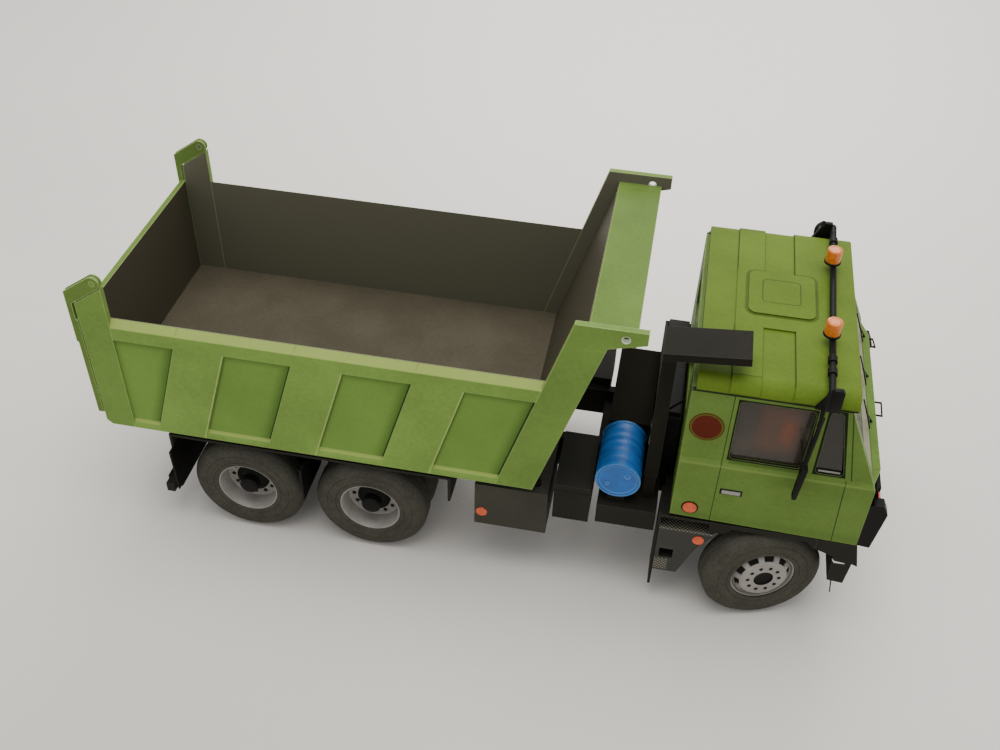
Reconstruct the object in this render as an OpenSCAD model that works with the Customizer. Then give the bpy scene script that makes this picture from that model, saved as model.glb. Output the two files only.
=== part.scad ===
// Hand-built card model of a three-axle dump truck, about 1:32.
// +X is forward, +Y is left, +Z is up. The origin is on the floor,
// below the centre of the model's outer box.

/* [Axles and wheels] */
// Distance from the front axle to the first rear axle
wheelbase = 120; // [110:0.5:145]
// Distance between the two rear axles
tandem_gap = 40; // [38:0.5:50]
// Front axle to the tip of the front bumper
front_overhang = 29.3; // [26:0.1:36]
// Rear axle to the back of the tailgate
rear_overhang = 43.9; // [38:0.1:54]
// Outer radius of every tyre
tyre_r = 17.9; // [15:0.1:18.6]
// Width of one tyre
tyre_w = 9.6; // [8:0.1:10]
// Distance between the centres of twin tyres
twin_pitch = 11; // [10.4:0.1:11.6]
// Centre line to the outer face of the rear wheels
wheel_face = 37.2; // [37:0.1:41]
// Centre line to the kingpins of the front wheels
kingpin_y = 34.1; // [33.6:0.1:35.4]
// Turn of the front wheels to the left at rest
steer_angle = 16.5; // [0:0.5:20]
// Radius of the wheel opening in the tyre
rim_r = 9.6; // [8.6:0.1:10.6]
// Radius of the fixed axle stubs
stub_r = 1.6; // [1.2:0.1:2.2]
// Radial clearance of every turning pin
pin_fit = 0.05; // [0.02:0.01:0.1]

/* [Bed] */
// Half of the bed's outer width
bed_half_w = 39.06; // [37.5:0.1:44]
// Underside of the bed above the floor
bed_bottom_z = 40; // [39.5:0.1:46]
// Height of the bed side, bottom rail to the top of the chamfer
bed_side_h = 41.35; // [36:0.1:50]
// Top of the front posts above the bed's underside
bed_front_h = 63.4; // [58:0.1:72]
// Length of the bed's underside
bed_len = 132.2; // [118:0.2:134]
// Forward lean of ribs, front posts and front wall, per mm of height
bed_lean = 0.304; // [0.2:0.002:0.32]
// Thickness of the bed's inner wall
wall_t = 1.1; // [0.9:0.05:1.4]
// Depth of ribs, posts and rails beyond the wall
rib_depth = 0.76; // [0.5:0.02:1.1]
// Width of a side rib along the bed
rib_w = 15; // [12:0.1:17]
// Top rail depth below its chamfer
rail_h = 4.3; // [3.5:0.1:6]
// Floor plate's top above the bed's underside
floor_rise = 6; // [5:0.1:8]
// Width of the rear post along the bed
post_w = 9; // [7.5:0.1:10.5]
// Thickness of the tailgate
gate_t = 2.2; // [1.8:0.1:2.8]
// Radius of the tailgate's hinge pins
gate_pin_r = 0.8; // [0.6:0.05:1]
// Radius of the bed's tipping hinge pin
tip_pin_r = 1.4; // [1.1:0.05:1.8]
// Gap between neighbouring pieces on different bodies
gap = 0.3; // [0.25:0.05:0.4]

/* [Canopy] */
// Reach of the lifting ears forward of the front posts
ear_reach = 8.1; // [7:0.1:10.5]
// Radius of the lifting eye
eye_r = 1.1; // [0.9:0.05:1.4]
// Depth of the canopy plate below the top of the posts
canopy_drop = 3.2; // [2.6:0.1:4.5]

/* [Cab] */
// Front axle back to the cab's rear wall
cab_back = 28.9; // [28:0.1:31]
// Half of the cab's width below the belt line
cab_half_w = 39.06; // [38:0.1:43]
// Underside of the cab's green shell above the floor
cab_bottom_z = 38.8; // [38.5:0.1:41]
// Belt line above the cab's underside
belt_rise = 23.2; // [20:0.1:26]
// Gutter line above the belt line
gutter_rise = 24.1; // [21:0.1:27]
// Height of the roof shell above the gutter
roof_rise = 4.5; // [3.6:0.1:5.5]
// Thickness of the cab's card walls
cab_t = 1; // [0.8:0.05:1.3]
// Inset of the cab side above the belt line
belt_inset = 0.6; // [0.4:0.05:0.8]
// Lean of the cab side from the belt line to the gutter
side_lean = 1.3; // [0.6:0.1:1.6]

/* [Chassis] */
// Half of the distance between the frame rails' inner faces
rail_inner = 10.8; // [9.5:0.1:12]
// Width of one frame rail
rail_w = 2.7; // [2:0.1:3.4]
// Height of the frame rails
frame_h = 10; // [8:0.1:11]
// Radius of the central backbone tube
tube_r = 4; // [3.2:0.1:4.6]
// Radius of the blue drum behind the cab
drum_r = 6.6; // [5.6:0.1:7]
// Length of the blue drum
drum_len = 18.5; // [16:0.1:20]

/* [Hidden] */
$fn = 64;

// Colours
GREEN = [0.45, 0.56, 0.24];
DARK = [0.29, 0.27, 0.22];
BLACK = [0.13, 0.12, 0.11];
RUBBER = [0.16, 0.15, 0.14];
SILVER = [0.72, 0.73, 0.74];
BLUE = [0.10, 0.40, 0.72];
ORANGE = [0.85, 0.42, 0.12];
GLASS = [0.45, 0.42, 0.38, 0.5];

// Places along the truck
length = front_overhang + wheelbase + tandem_gap + rear_overhang;
rear_x = -length / 2 + rear_overhang;
mid_x = rear_x + tandem_gap;
front_x = mid_x + wheelbase;
tip_x = length / 2;

// Frame
rail_outer = rail_inner + rail_w;
frame_top = bed_bottom_z - 2;
frame_bottom = frame_top - frame_h;
skirt_x = front_x + 13.4;
frame_front_x = skirt_x;
cross_member_x = [rear_x - 14, (rear_x + mid_x) / 2, mid_x + 24, mid_x + 52, mid_x + 67, front_x - 8];

// Bed
gate_back_x = -length / 2;
post_back_x = gate_back_x + gate_t + gap;
post_front_x = post_back_x + post_w;
bed_front_x = post_back_x + bed_len;
bed_top_z = bed_bottom_z + bed_side_h;
post_top_z = bed_bottom_z + bed_front_h;
floor_z = bed_bottom_z + floor_rise;
wall_out = bed_half_w - rib_depth;
wall_in = wall_out - wall_t;
chamfer_h = 2.5;
rail_top_z = bed_top_z - chamfer_h;
rail_low_z = rail_top_z - rail_h;
bottom_rail_h = 1.8;
front_post_w = 11;
rib_count = 3;
hinge_x = rear_x - 26;
hinge_drop = 3.2;
hinge_z = frame_top - hinge_drop;
gate_top_z = bed_top_z - 1.2;
gate_pin_x = post_back_x + 7;
gate_pin_z = bed_bottom_z + 54.1;
arm_r = 2.1;
arm_t = 0.45;
arm_gap = 0.1;

// Cab
cab_rear_x = front_x - cab_back;
belt_z = cab_bottom_z + belt_rise;
gutter_z = belt_z + gutter_rise;
roof_z = gutter_z + roof_rise;
cab_front_x = front_x + 24;
screen_top_x = front_x + 12.4;
upper_half_w = cab_half_w - belt_inset;
gutter_half_w = upper_half_w - side_lean;

// Distance that the bed's front line has moved forward at a height
function lean_at(z) = (z - bed_bottom_z) * bed_lean;

// Mirrors what is drawn on the right onto the left as well
module both_sides() {
    children();
    mirror([0, 1, 0]) children();
}

// A prism with its outline in the XZ plane, between two Y planes
module along_y(y0, y1) {
    translate([0, y1, 0]) rotate([90, 0, 0]) linear_extrude(y1 - y0) children();
}

// A prism with its outline in the YZ plane, between two X planes
module along_x(x0, x1) {
    translate([x0, 0, 0]) rotate([90, 0, 90]) linear_extrude(x1 - x0) children();
}

// A box given by its two opposite corners
module block(low, high) {
    translate(low) cube(high - low);
}

// A rod between two Y planes
module rod_y(x, z, y0, y1, r) {
    translate([x, y1, z]) rotate([90, 0, 0]) cylinder(r = r, h = y1 - y0);
}

// A rectangle with rounded corners
module round_rect(w, h, r) {
    for (x = [r, w - r], y = [r, h - r])
        translate([x, y]) circle(r = r);
    translate([r, 0]) square([w - 2 * r, h]);
    translate([0, r]) square([w, h - 2 * r]);
}

// ---- Wheels: local Z points out of the truck, 0 is the tyre's outer face ----

shoulder_r = 2.2;
rim_wall = 0.5;
hub_r = 3;
disc_t = 0.8;
bore_r = stub_r + pin_fit;
axle_z = tyre_r;
front_face = 5.2;
hub_out = 0.5;
rear_dish = 7;
hub_face = 0.6;
hub_cap_t = 1.2;
bore_end = -hub_face - hub_cap_t;
inner_end = -(twin_pitch + tyre_w);

// Puts a wheel's pieces at an axle on the right side
module at_wheel(x) {
    translate([x, -wheel_face, axle_z]) rotate([90, 0, 0]) children();
}

module tyre(z_out) {
    translate([0, 0, z_out]) rotate_extrude()
        translate([rim_r, -tyre_w]) round_tyre_section();
}

module round_tyre_section() {
    depth = tyre_r - rim_r;
    square([depth - shoulder_r, tyre_w]);
    translate([0, shoulder_r]) square([depth, tyre_w - 2 * shoulder_r]);
    for (z = [shoulder_r, tyre_w - shoulder_r])
        translate([depth - shoulder_r, z]) circle(r = shoulder_r);
}

module ring(r_out, r_in, z0, z1) {
    translate([0, 0, z0]) difference() {
        cylinder(r = r_out, h = z1 - z0);
        translate([0, 0, -1]) cylinder(r = r_in, h = z1 - z0 + 2);
    }
}

// Front wheel: a coned disc with a flat middle, open towards the truck
disc_r = 6.75;
cap_r = 2.9;
boss_in = -2.1;

module front_rim() {
    rotate_extrude() polygon([
        [0, -hub_face], [bore_r, -hub_face], [bore_r, boss_in], [hub_r, boss_in],
        [hub_r, hub_out - disc_t], [disc_r - 0.3, hub_out - disc_t], [rim_r - rim_wall, -hub_face - disc_t - 0.4],
        [rim_r - rim_wall, -tyre_w], [rim_r, -tyre_w], [rim_r, -0.9], [rim_r - 0.3, -0.9],
        [disc_r, hub_out], [cap_r, hub_out], [cap_r, hub_out - 0.4], [0, hub_out - 0.4]]);
}

module twin_rims() {
    difference() {
        union() {
            ring(rim_r, rim_r - rim_wall, -tyre_w, 0);
            ring(rim_r, rim_r - rim_wall, inner_end, inner_end + tyre_w);
            translate([0, 0, -rear_dish - disc_t]) cylinder(r = rim_r - rim_wall + 0.01, h = disc_t);
            translate([0, 0, inner_end + rear_dish]) cylinder(r = rim_r - rim_wall + 0.01, h = disc_t);
            translate([0, 0, inner_end]) cylinder(r = hub_r, h = -inner_end - hub_face);
        }
        translate([0, 0, inner_end - 1]) cylinder(r = bore_r, h = bore_end - inner_end + 1);
    }
}

module twin_tyres() {
    tyre(0);
    tyre(-twin_pitch);
}

module tyre_colour() { color(RUBBER) children(); }
module rim_colour() { color(SILVER) children(); }

// Puts a front wheel's pieces at its kingpin, turned with the steering;
// side is -1 on the right and 1 on the left
module at_front_wheel(side) {
    translate([front_x, side * kingpin_y, axle_z]) rotate([0, 0, steer_angle])
        rotate([side * -90, 0, 0]) children();
}

module front_tyre(side) { tyre_colour() at_front_wheel(side) tyre(front_face); }
module front_wheel_disc(side) {
    rim_colour() at_front_wheel(side) translate([0, 0, front_face]) front_rim();
}

module front_tyre_right() { front_tyre(-1); }
module front_tyre_left() { front_tyre(1); }
module front_rim_right() { front_wheel_disc(-1); }
module front_rim_left() { front_wheel_disc(1); }
module mid_tyres_right() { tyre_colour() at_wheel(mid_x) twin_tyres(); }
module mid_tyres_left() { mirror([0, 1, 0]) mid_tyres_right(); }
module mid_rims_right() { rim_colour() at_wheel(mid_x) twin_rims(); }
module mid_rims_left() { mirror([0, 1, 0]) mid_rims_right(); }
module rear_tyres_right() { tyre_colour() at_wheel(rear_x) twin_tyres(); }
module rear_tyres_left() { mirror([0, 1, 0]) rear_tyres_right(); }
module rear_rims_right() { rim_colour() at_wheel(rear_x) twin_rims(); }
module rear_rims_left() { mirror([0, 1, 0]) rear_rims_right(); }

// ---- Chassis ----

stub_end = wheel_face + bore_end - gap;
rear_hub_in = wheel_face + inner_end;
axle_r = 2.6;

// Steering knuckle: a fork round the beam's eye, on a kingpin, with the stub
eye_out = 1.9;
pin_r = 0.9;
fork_half_h = 3.9;
fork_t = 1;
fork_half_w = 2.2;
web = [2.2, 2.9];

// A dead axle: a fat tube with two thin stubs that the wheels turn on
module dead_axle(x, hub_in) {
    rod_y(x, axle_z, -hub_in + gap, hub_in - gap, axle_r);
    rod_y(x, axle_z, -stub_end, stub_end, stub_r);
}

module frame_rails() {
    color(BLACK) both_sides() difference() {
        union() {
            block([hinge_x, -rail_outer, frame_bottom], [frame_front_x, -rail_inner, frame_top]);
            rod_y(hinge_x, hinge_z, -rail_outer, -rail_inner, hinge_drop);
        }
        rod_y(hinge_x, hinge_z, -rail_outer - 1, -rail_inner + 1, tip_pin_r + pin_fit);
    }
}

module cross_members() {
    color(BLACK) for (x = cross_member_x)
        block([x, -rail_inner, frame_bottom + 2], [x + 3, rail_inner, frame_top - 2]);
}

// Saddles that hold the axles under the rails
module axle_mounts() {
    color(BLACK) for (x = [rear_x, mid_x, front_x]) both_sides() difference() {
        block([x - axle_r - 0.6, -rail_outer, axle_z + 0.01], [x + axle_r + 0.6, -rail_inner, frame_bottom]);
        rod_y(x, axle_z, -rail_outer - 1, -rail_inner + 1, axle_r);
    }
}

module backbone_tube() {
    color(BLACK) {
        translate([rear_x - 8, 0, axle_z]) rotate([0, 90, 0])
            cylinder(r = tube_r, h = front_x - rear_x - 4);
    }
}

module front_axle() {
    color(BLACK) difference() {
        union() {
            rod_y(front_x, axle_z, -kingpin_y + 3, kingpin_y - 3, axle_r);
            both_sides() {
                block([front_x - eye_out, -kingpin_y, axle_z - axle_r],
                      [front_x + eye_out, -kingpin_y + 4, axle_z + axle_r]);
                translate([front_x, -kingpin_y, axle_z - axle_r]) cylinder(r = eye_out, h = 2 * axle_r);
            }
        }
        both_sides() translate([front_x, -kingpin_y, axle_z - axle_r - 1])
            cylinder(r = pin_r + pin_fit, h = 2 * axle_r + 2);
    }
}

module knuckle(side) {
    color(BLACK) at_front_wheel(side) {
        difference() {
            translate([-fork_half_w, -fork_half_h, -fork_half_w])
                cube([2 * fork_half_w, 2 * fork_half_h, fork_half_w + web[1]]);
            translate([-fork_half_w - 1, -fork_half_h + fork_t, -fork_half_w - 1])
                cube([2 * fork_half_w + 2, 2 * (fork_half_h - fork_t), fork_half_w + 1 + web[0]]);
        }
        translate([0, fork_half_h - 0.5, 0]) rotate([90, 0, 0]) cylinder(r = pin_r, h = 2 * fork_half_h - 1);
        translate([0, 0, web[0]]) cylinder(r = stub_r, h = front_face - hub_face - gap - web[0]);
    }
}

module knuckle_right() { knuckle(-1); }
module knuckle_left() { knuckle(1); }

module rear_axles() {
    color(BLACK) for (x = [rear_x, mid_x]) difference() {
        dead_axle(x, rear_hub_in);
        translate([x - 20, 0, axle_z]) rotate([0, 90, 0]) cylinder(r = tube_r, h = 40);
    }
}

// Black card guards over the rear wheels with a flap in front and behind
guard_t = 0.8;
guard_half_w = 38;
guard_front_x = mid_x + 26;
guard_back_x = rear_x - 22.6;
flap_low_z = 15;

module rear_mudguards() {
    color(BLACK) both_sides() {
        block([guard_back_x, -guard_half_w, frame_top - guard_t],
              [guard_front_x, -rail_outer, frame_top]);
        block([guard_back_x, -guard_half_w, flap_low_z],
              [guard_back_x + guard_t, -rail_outer - 3, frame_top]);
        block([guard_front_x - guard_t, -guard_half_w, frame_bottom],
              [guard_front_x, -rail_outer - 3, frame_top]);
    }
}

bar_z = 11.6;
bar_h = 3.4;
bar_x = hinge_x - 1.6;

module rear_underrun() {
    color(BLACK) {
        block([bar_x, -guard_half_w, bar_z], [bar_x + 2.6, guard_half_w, bar_z + bar_h]);
        both_sides() block([bar_x, -rail_outer, bar_z + bar_h], [bar_x + 2.6, -rail_inner, frame_bottom]);
    }
}

// Boxes hung on the outside of the frame rails, as on both sides
tank_x = [mid_x + 33.4, mid_x + 55.4];
tank_z = [20, 37];
tank_half_w = 37.5;
battery_x = [mid_x + 57, mid_x + 67.8];
battery_z = [27, 41];
battery_half_w = 36.5;
tray_x = [mid_x + 69.9, mid_x + 87.4];
tray_z = [28.5, 36];
tray_half_w = 37;

module fuel_tanks() {
    color(BLACK) both_sides()
        block([tank_x[0], -tank_half_w, tank_z[0]], [tank_x[1], -rail_outer, tank_z[1]]);
}

module battery_boxes() {
    color(BLACK) both_sides()
        block([battery_x[0], -battery_half_w, battery_z[0]],
              [battery_x[1], -rail_outer, battery_z[1]]);
}

drum_x = mid_x + 75.1;
drum_z = frame_top + 7.9;
filter_half_w = 17.3;
filter_x = [mid_x + 70, mid_x + 82.4];
filter_z = [frame_top, frame_top + 14];
drum_in = -filter_half_w;
drum_out = -filter_half_w - drum_len;

module side_trays() {
    color(BLACK) {
        both_sides()
            block([tray_x[0], -tray_half_w, tray_z[0]], [tray_x[1], -rail_outer, tray_z[1]]);
        difference() {
            block([drum_x - 2.4, drum_out + 2, tray_z[1] - 0.01],
                  [drum_x + 2.4, drum_out + 5, drum_z]);
            rod_y(drum_x, drum_z, drum_out - 1, drum_in, drum_r);
        }
    }
}

module blue_drum() {
    color(BLUE) rod_y(drum_x, drum_z, drum_out, drum_in, drum_r);
}

module filter_box() {
    color(BLACK) block([filter_x[0], -filter_half_w, filter_z[0]],
                       [filter_x[1], filter_half_w, filter_z[1]]);
}

// Flat intake box on a square duct that stands on the right tray
intake_len = 22.6;
intake_w = 11.8;
intake_h = 2.4;
intake_tilt = 5.6;
intake_y = -37;
intake_z = roof_z + 3.2;
duct_x = tray_x[1] - 5;
duct_side = 3.9;
duct_y = intake_y + 5;
foot_z = tray_z[1] + 9.7;

module air_intake() {
    color(BLACK) {
        translate([duct_x, intake_y, intake_z]) rotate([0, -intake_tilt, 0])
            cube([intake_len, intake_w, intake_h]);
        block([duct_x, duct_y, foot_z], [duct_x + duct_side, duct_y + duct_side, intake_z + 1]);
        block([duct_x + 0.4, duct_y + 0.4, tray_z[1]],
              [duct_x + duct_side - 0.4, duct_y + duct_side - 0.4, foot_z + 0.1]);
    }
}

// ---- Cab ----

side_in = cab_half_w - cab_t;
belt_fold = 1;
sill_rise = 0.6;
glass_t = 0.3;
window_low = belt_z + 2;
window_high = gutter_z - 2;

// Section across the cab side: stepped in at the belt line
module side_section() {
    polygon([
        [-cab_half_w, cab_bottom_z - 2], [-cab_half_w, belt_z - belt_fold / 2],
        [-upper_half_w, belt_z + belt_fold / 2], [-gutter_half_w, gutter_z],
        [-gutter_half_w + cab_t, gutter_z], [-upper_half_w + cab_t, belt_z + belt_fold / 2],
        [-side_in, belt_z - belt_fold / 2], [-side_in, cab_bottom_z - 2]]);
}

// Outline of the cab side seen from the right
module side_outline() {
    polygon([
        [cab_rear_x, cab_bottom_z + sill_rise], [cab_front_x, cab_bottom_z - sill_rise],
        [cab_front_x, belt_z - 1.7], [screen_top_x, gutter_z], [cab_rear_x, gutter_z]]);
}

// An outline through the given corners, rounded with radius r
module rounded(corners, r) {
    hull() for (c = corners) translate(c) circle(r = r, $fn = 24);
}

corner_r = 1.2;
door_window = [
    [front_x - 15.9 + corner_r, window_low + corner_r], [front_x + 3.4 - corner_r, window_low + corner_r],
    [front_x + 3.8 - corner_r, window_high - corner_r], [front_x - 15.9 + corner_r, window_high - corner_r]];
quarter_window = [
    [front_x + 7.3 + corner_r, window_low - 0.5 + corner_r], [front_x + 14.6 - corner_r, window_low - 0.5 + corner_r],
    [front_x + 10.7 - corner_r, window_high + 0.7 - corner_r], [front_x + 7.3 + corner_r, window_high + 0.7 - corner_r]];

module cab_side_right() {
    color(GREEN) difference() {
        intersection() {
            along_x(cab_rear_x, cab_front_x) side_section();
            along_y(-cab_half_w - 1, -gutter_half_w + 3) side_outline();
        }
        along_y(-cab_half_w - 1, 0) rounded(door_window, corner_r);
        along_y(-cab_half_w - 1, 0) rounded(quarter_window, corner_r);
    }
}

module cab_side_left() { mirror([0, 1, 0]) cab_side_right(); }

module cab_floor() {
    color(BLACK) block([cab_rear_x + cab_t, -side_in, cab_bottom_z + sill_rise],
                       [cab_front_x - cab_t, side_in, cab_bottom_z + sill_rise + 1.2]);
}

// Space between the two cab sides from a height up, as a section across the cab
module inside_section(low_z) {
    polygon([[-side_in, low_z], [side_in, low_z], [side_in, belt_z - belt_fold / 2],
             [upper_half_w - cab_t, belt_z + belt_fold / 2], [gutter_half_w - cab_t, gutter_z],
             [-gutter_half_w + cab_t, gutter_z], [-upper_half_w + cab_t, belt_z + belt_fold / 2],
             [-side_in, belt_z - belt_fold / 2]]);
}

rear_window = [[7, window_low + 4], [24, window_low + 4], [24, window_high - 4], [7, window_high - 4]];

module cab_back_wall() {
    color(GREEN) difference() {
        along_x(cab_rear_x, cab_rear_x + cab_t) inside_section(cab_bottom_z + sill_rise);
        both_sides() along_x(cab_rear_x - 1, cab_rear_x + cab_t + 1) rounded(rear_window, corner_r);
    }
}

// Flat lower panel, leaning windscreen frame and the shallow mask above the bumper
screen_half_w = 34.6;
mask_half_w = 30;
mask_depth = 2;

module screen_section(inset, t) {
    polygon([[cab_front_x - inset, belt_z - 1.7], [screen_top_x - inset, gutter_z],
             [screen_top_x - inset - t, gutter_z], [cab_front_x - inset - t, belt_z - 1.7]]);
}

module cab_front() {
    color(GREEN) difference() {
        union() {
            block([cab_front_x - cab_t, -side_in, cab_bottom_z - sill_rise],
                  [cab_front_x, side_in, belt_z - 1.7]);
            intersection() {
                along_y(-side_in, side_in) screen_section(0, cab_t + 0.4);
                along_x(screen_top_x - 5, cab_front_x + 1) inside_section(cab_bottom_z);
            }
            translate([0, 0, bumper_top_z + 0.2]) linear_extrude(belt_z - 1.7 - bumper_top_z - 0.2)
                polygon([[cab_front_x - 0.01, -mask_half_w - 6], [cab_front_x + mask_depth, -mask_half_w],
                         [cab_front_x + mask_depth, mask_half_w], [cab_front_x - 0.01, mask_half_w + 6]]);
        }
        along_x(screen_top_x - 5, cab_front_x + 1)
            translate([-screen_half_w, window_low]) round_rect(2 * screen_half_w, window_high - window_low, 2);
    }
}

// Section across the roof with the given rise above the gutter
roof_half_w = gutter_half_w + 0.4;
pad_h = 0.5;

module roof_section(rise) {
    flat = roof_half_w - (roof_rise - pad_h);
    intersection() {
        union() {
            translate([-flat, gutter_z]) square([2 * flat, rise]);
            for (y = [-flat, flat]) translate([y, gutter_z]) circle(r = rise);
        }
        translate([-roof_half_w - 1, gutter_z]) square([2 * roof_half_w + 2, 2 * rise]);
    }
}

roof_back_x = cab_rear_x + cab_t;
roof_front_x = screen_top_x + 1.4;
pad_back = [front_x - 19.3, front_x - 11.6];
pad_front_x = front_x - 2.9;
channel_half = 13;
hatch_x = front_x - 16;
hatch_y = 3;
hatch_len = 18.6;
hatch_w = 20.2;
hatch_h = 0.4;

module cab_roof() {
    base = roof_rise - pad_h;
    color(GREEN) {
        difference() {
            along_x(roof_back_x, roof_front_x) roof_section(base);
            along_x(roof_back_x + cab_t, roof_front_x - cab_t) roof_section(base - cab_t);
        }
        difference() {
            union() {
                along_x(pad_back[0], pad_back[1]) roof_section(roof_rise);
                along_x(pad_front_x, roof_front_x) roof_section(roof_rise);
                block([pad_back[1] - 0.1, -channel_half, gutter_z + 2],
                      [pad_front_x + 0.1, channel_half, roof_z]);
            }
            along_x(cab_rear_x, roof_front_x + 1) roof_section(base - 0.2);
            block([cab_rear_x, -roof_half_w - 2, gutter_z - 1],
                  [roof_front_x + 1, roof_half_w + 2, gutter_z + 1]);
        }
        translate([hatch_x, hatch_y - hatch_w / 2, roof_z - 0.1]) linear_extrude(hatch_h + 0.1)
            round_rect(hatch_len, hatch_w, 2.4);
    }
}

// Section of the film behind the side windows, leaning with the cab side
module side_glass_section() {
    polygon([[-upper_half_w + cab_t, belt_z + belt_fold / 2], [-gutter_half_w + cab_t, gutter_z],
             [-gutter_half_w + cab_t + glass_t, gutter_z], [-upper_half_w + cab_t + glass_t, belt_z + belt_fold / 2]]);
}

module windows() {
    color(GLASS) {
        both_sides() {
            intersection() {
                along_x(front_x - 18, front_x + 16) side_glass_section();
                along_y(-cab_half_w, -gutter_half_w + 3)
                    polygon([[front_x - 17.2, window_low - 1.4], [front_x + 14.6, window_low - 1.4],
                             [front_x + 10.6, window_high + 1.2], [front_x - 17.2, window_high + 1.2]]);
            }
            block([cab_rear_x + cab_t, 5, window_low + 2],
                  [cab_rear_x + cab_t + glass_t, 26, window_high - 2]);
        }
        intersection() {
            along_y(-screen_half_w - 1, screen_half_w + 1) screen_section(cab_t + 0.4, glass_t);
            along_x(screen_top_x - 5, cab_front_x)
                translate([-screen_half_w - 1, window_low - 1])
                    square([2 * screen_half_w + 2, window_high - window_low + 2]);
        }
    }
}

// Inside the cab
cab_floor_z = cab_bottom_z + sill_rise + 1.2;
dash_back_x = cab_front_x - 10;
dash_top_z = belt_z - 2.2;
wheel_r = 5.6;
driver_y = 19;
steer_tilt = 28;

module dashboard() {
    color(DARK) along_y(-side_in + 0.4, side_in - 0.4)
        polygon([[dash_back_x, dash_top_z - 7], [dash_back_x, dash_top_z - 1],
                 [dash_back_x + 1.5, dash_top_z], [cab_front_x - cab_t, dash_top_z],
                 [cab_front_x - cab_t, cab_floor_z], [cab_front_x - cab_t - 3, cab_floor_z]]);
}

module steering_wheel() {
    color(BLACK) translate([dash_back_x - 0.6, driver_y, dash_top_z - 3.2]) rotate([0, -steer_tilt, 0]) {
        translate([-5.5, 0, 0]) rotate([0, 90, 0]) rotate_extrude() translate([wheel_r, 0]) circle(r = 0.6, $fn = 24);
        translate([-5.9, 0, 0]) rotate([0, 90, 0]) cylinder(r = 0.8, h = 6.2);
        for (a = [0, 120, 240]) translate([-5.5, 0, 0]) rotate([a, 0, 0])
            translate([-0.35, -0.5, 0]) cube([0.7, 1, wheel_r]);
    }
}

seat_x = cab_rear_x + 6;
seat_w = 15;
seat_len = 14;

module seats() {
    color(DARK) for (y = [-driver_y, driver_y]) {
        block([seat_x, y - seat_w / 2, cab_floor_z], [seat_x + seat_len, y + seat_w / 2, cab_floor_z + 9]);
        block([seat_x, y - seat_w / 2, cab_floor_z + 8.9], [seat_x + 3.5, y + seat_w / 2, cab_floor_z + 30]);
    }
}

// ---- Front end ----

bumper_low_z = cab_bottom_z - 0.8;
bumper_fold_z = bumper_low_z + 14;
bumper_top_z = bumper_low_z + 20;
wedge_top_z = bumper_low_z + 17.2;

// Bumper across the front, with a deeper wedge on each corner
wedge_w = 3.2;
mid_set_back = 2.2;
top_set_back = 1.5;

module bumper_section(set_back, top_z) {
    polygon([[cab_front_x, bumper_low_z + 0.4], [tip_x - 1.7 - set_back, bumper_low_z],
             [tip_x - set_back, bumper_fold_z], [tip_x - top_set_back - set_back, top_z],
             [cab_front_x + 1.2, top_z], [cab_front_x, top_z - 1.2]]);
}

module front_bumper() {
    color(BLACK) {
        along_y(-cab_half_w + wedge_w - 0.01, cab_half_w - wedge_w + 0.01)
            bumper_section(mid_set_back, bumper_top_z);
        both_sides() along_y(-cab_half_w, -cab_half_w + wedge_w) bumper_section(0, wedge_top_z);
    }
}

module front_skirt() {
    color(BLACK) {
        along_y(-cab_half_w, cab_half_w)
            polygon([[skirt_x, bumper_low_z - 0.1], [skirt_x, bumper_low_z - 4],
                     [tip_x - 3, bumper_low_z - 8.7], [tip_x - 4.9, bumper_low_z - 0.1]]);
        along_y(-cab_half_w, cab_half_w)
            polygon([[front_x + 19, bumper_low_z - 6], [tip_x - 4.7, bumper_low_z - 7.7],
                     [tip_x - 5.4, bumper_low_z - 16.8], [front_x + 19.3, bumper_low_z - 16.4]]);
    }
}

// Chequer-topped steps behind the front wheels
step_x = front_x - 31;
step_top_z = 33;
step_low_z = 13.8;
step_in = 29.5;

module cab_steps() {
    color(BLACK) both_sides() difference() {
        along_y(-cab_half_w, -step_in)
            polygon([[step_x, step_low_z], [step_x + 7, step_low_z], [step_x + 11, 25],
                     [step_x + 16, step_top_z], [step_x, step_top_z]]);
        block([step_x + 1, -cab_half_w - 1, 19.8], [step_x + 5.2, -cab_half_w + 4, 23.8]);
    }
}

lip_low_z = 34;
arch_half = [13, 10.5];

module front_mudguards() {
    guard_z = cab_bottom_z - sill_rise - 0.9;
    color(BLACK) both_sides() {
        block([step_x, -cab_half_w, guard_z], [skirt_x, -rail_outer, cab_bottom_z - sill_rise - 0.1]);
        // lip with an opening over the wheel, which swings out when it steers
        along_y(-cab_half_w, -cab_half_w + guard_t)
            polygon([[step_x + 14, guard_z + 0.1], [step_x + 14, lip_low_z], [front_x - arch_half[0], lip_low_z],
                     [front_x - arch_half[1], guard_z - 0.8], [front_x + arch_half[1], guard_z - 0.8],
                     [front_x + arch_half[0], lip_low_z], [skirt_x, lip_low_z], [skirt_x, guard_z + 0.1]]);
        block([step_x, -cab_half_w + 4.5, step_top_z], [step_x + 14.5, -cab_half_w + 5.5, guard_z + 0.1]);
        block([step_x - guard_t, -cab_half_w + 0.6, 6], [step_x, -step_in + 2, guard_z + 0.8]);
    }
}

// Bar across the roof with a foot on each gutter
bar_front_x = front_x + 7;
light_bar_z = roof_z + 2;
bar_yaw = 2;
beacon_y = [-15.9, 18.3];
beacon_back = 0.5;
beacon_r = 2.15;
beacon_h = 4.6;
foot_t = 1.2;
foot_in = roof_half_w + 0.4;
foot_out = foot_in + foot_t;

// The bar is fitted a little askew, its right end further back
module at_light_bar() {
    translate([bar_front_x, 0, 0]) rotate([0, 0, -bar_yaw]) children();
}

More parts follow.
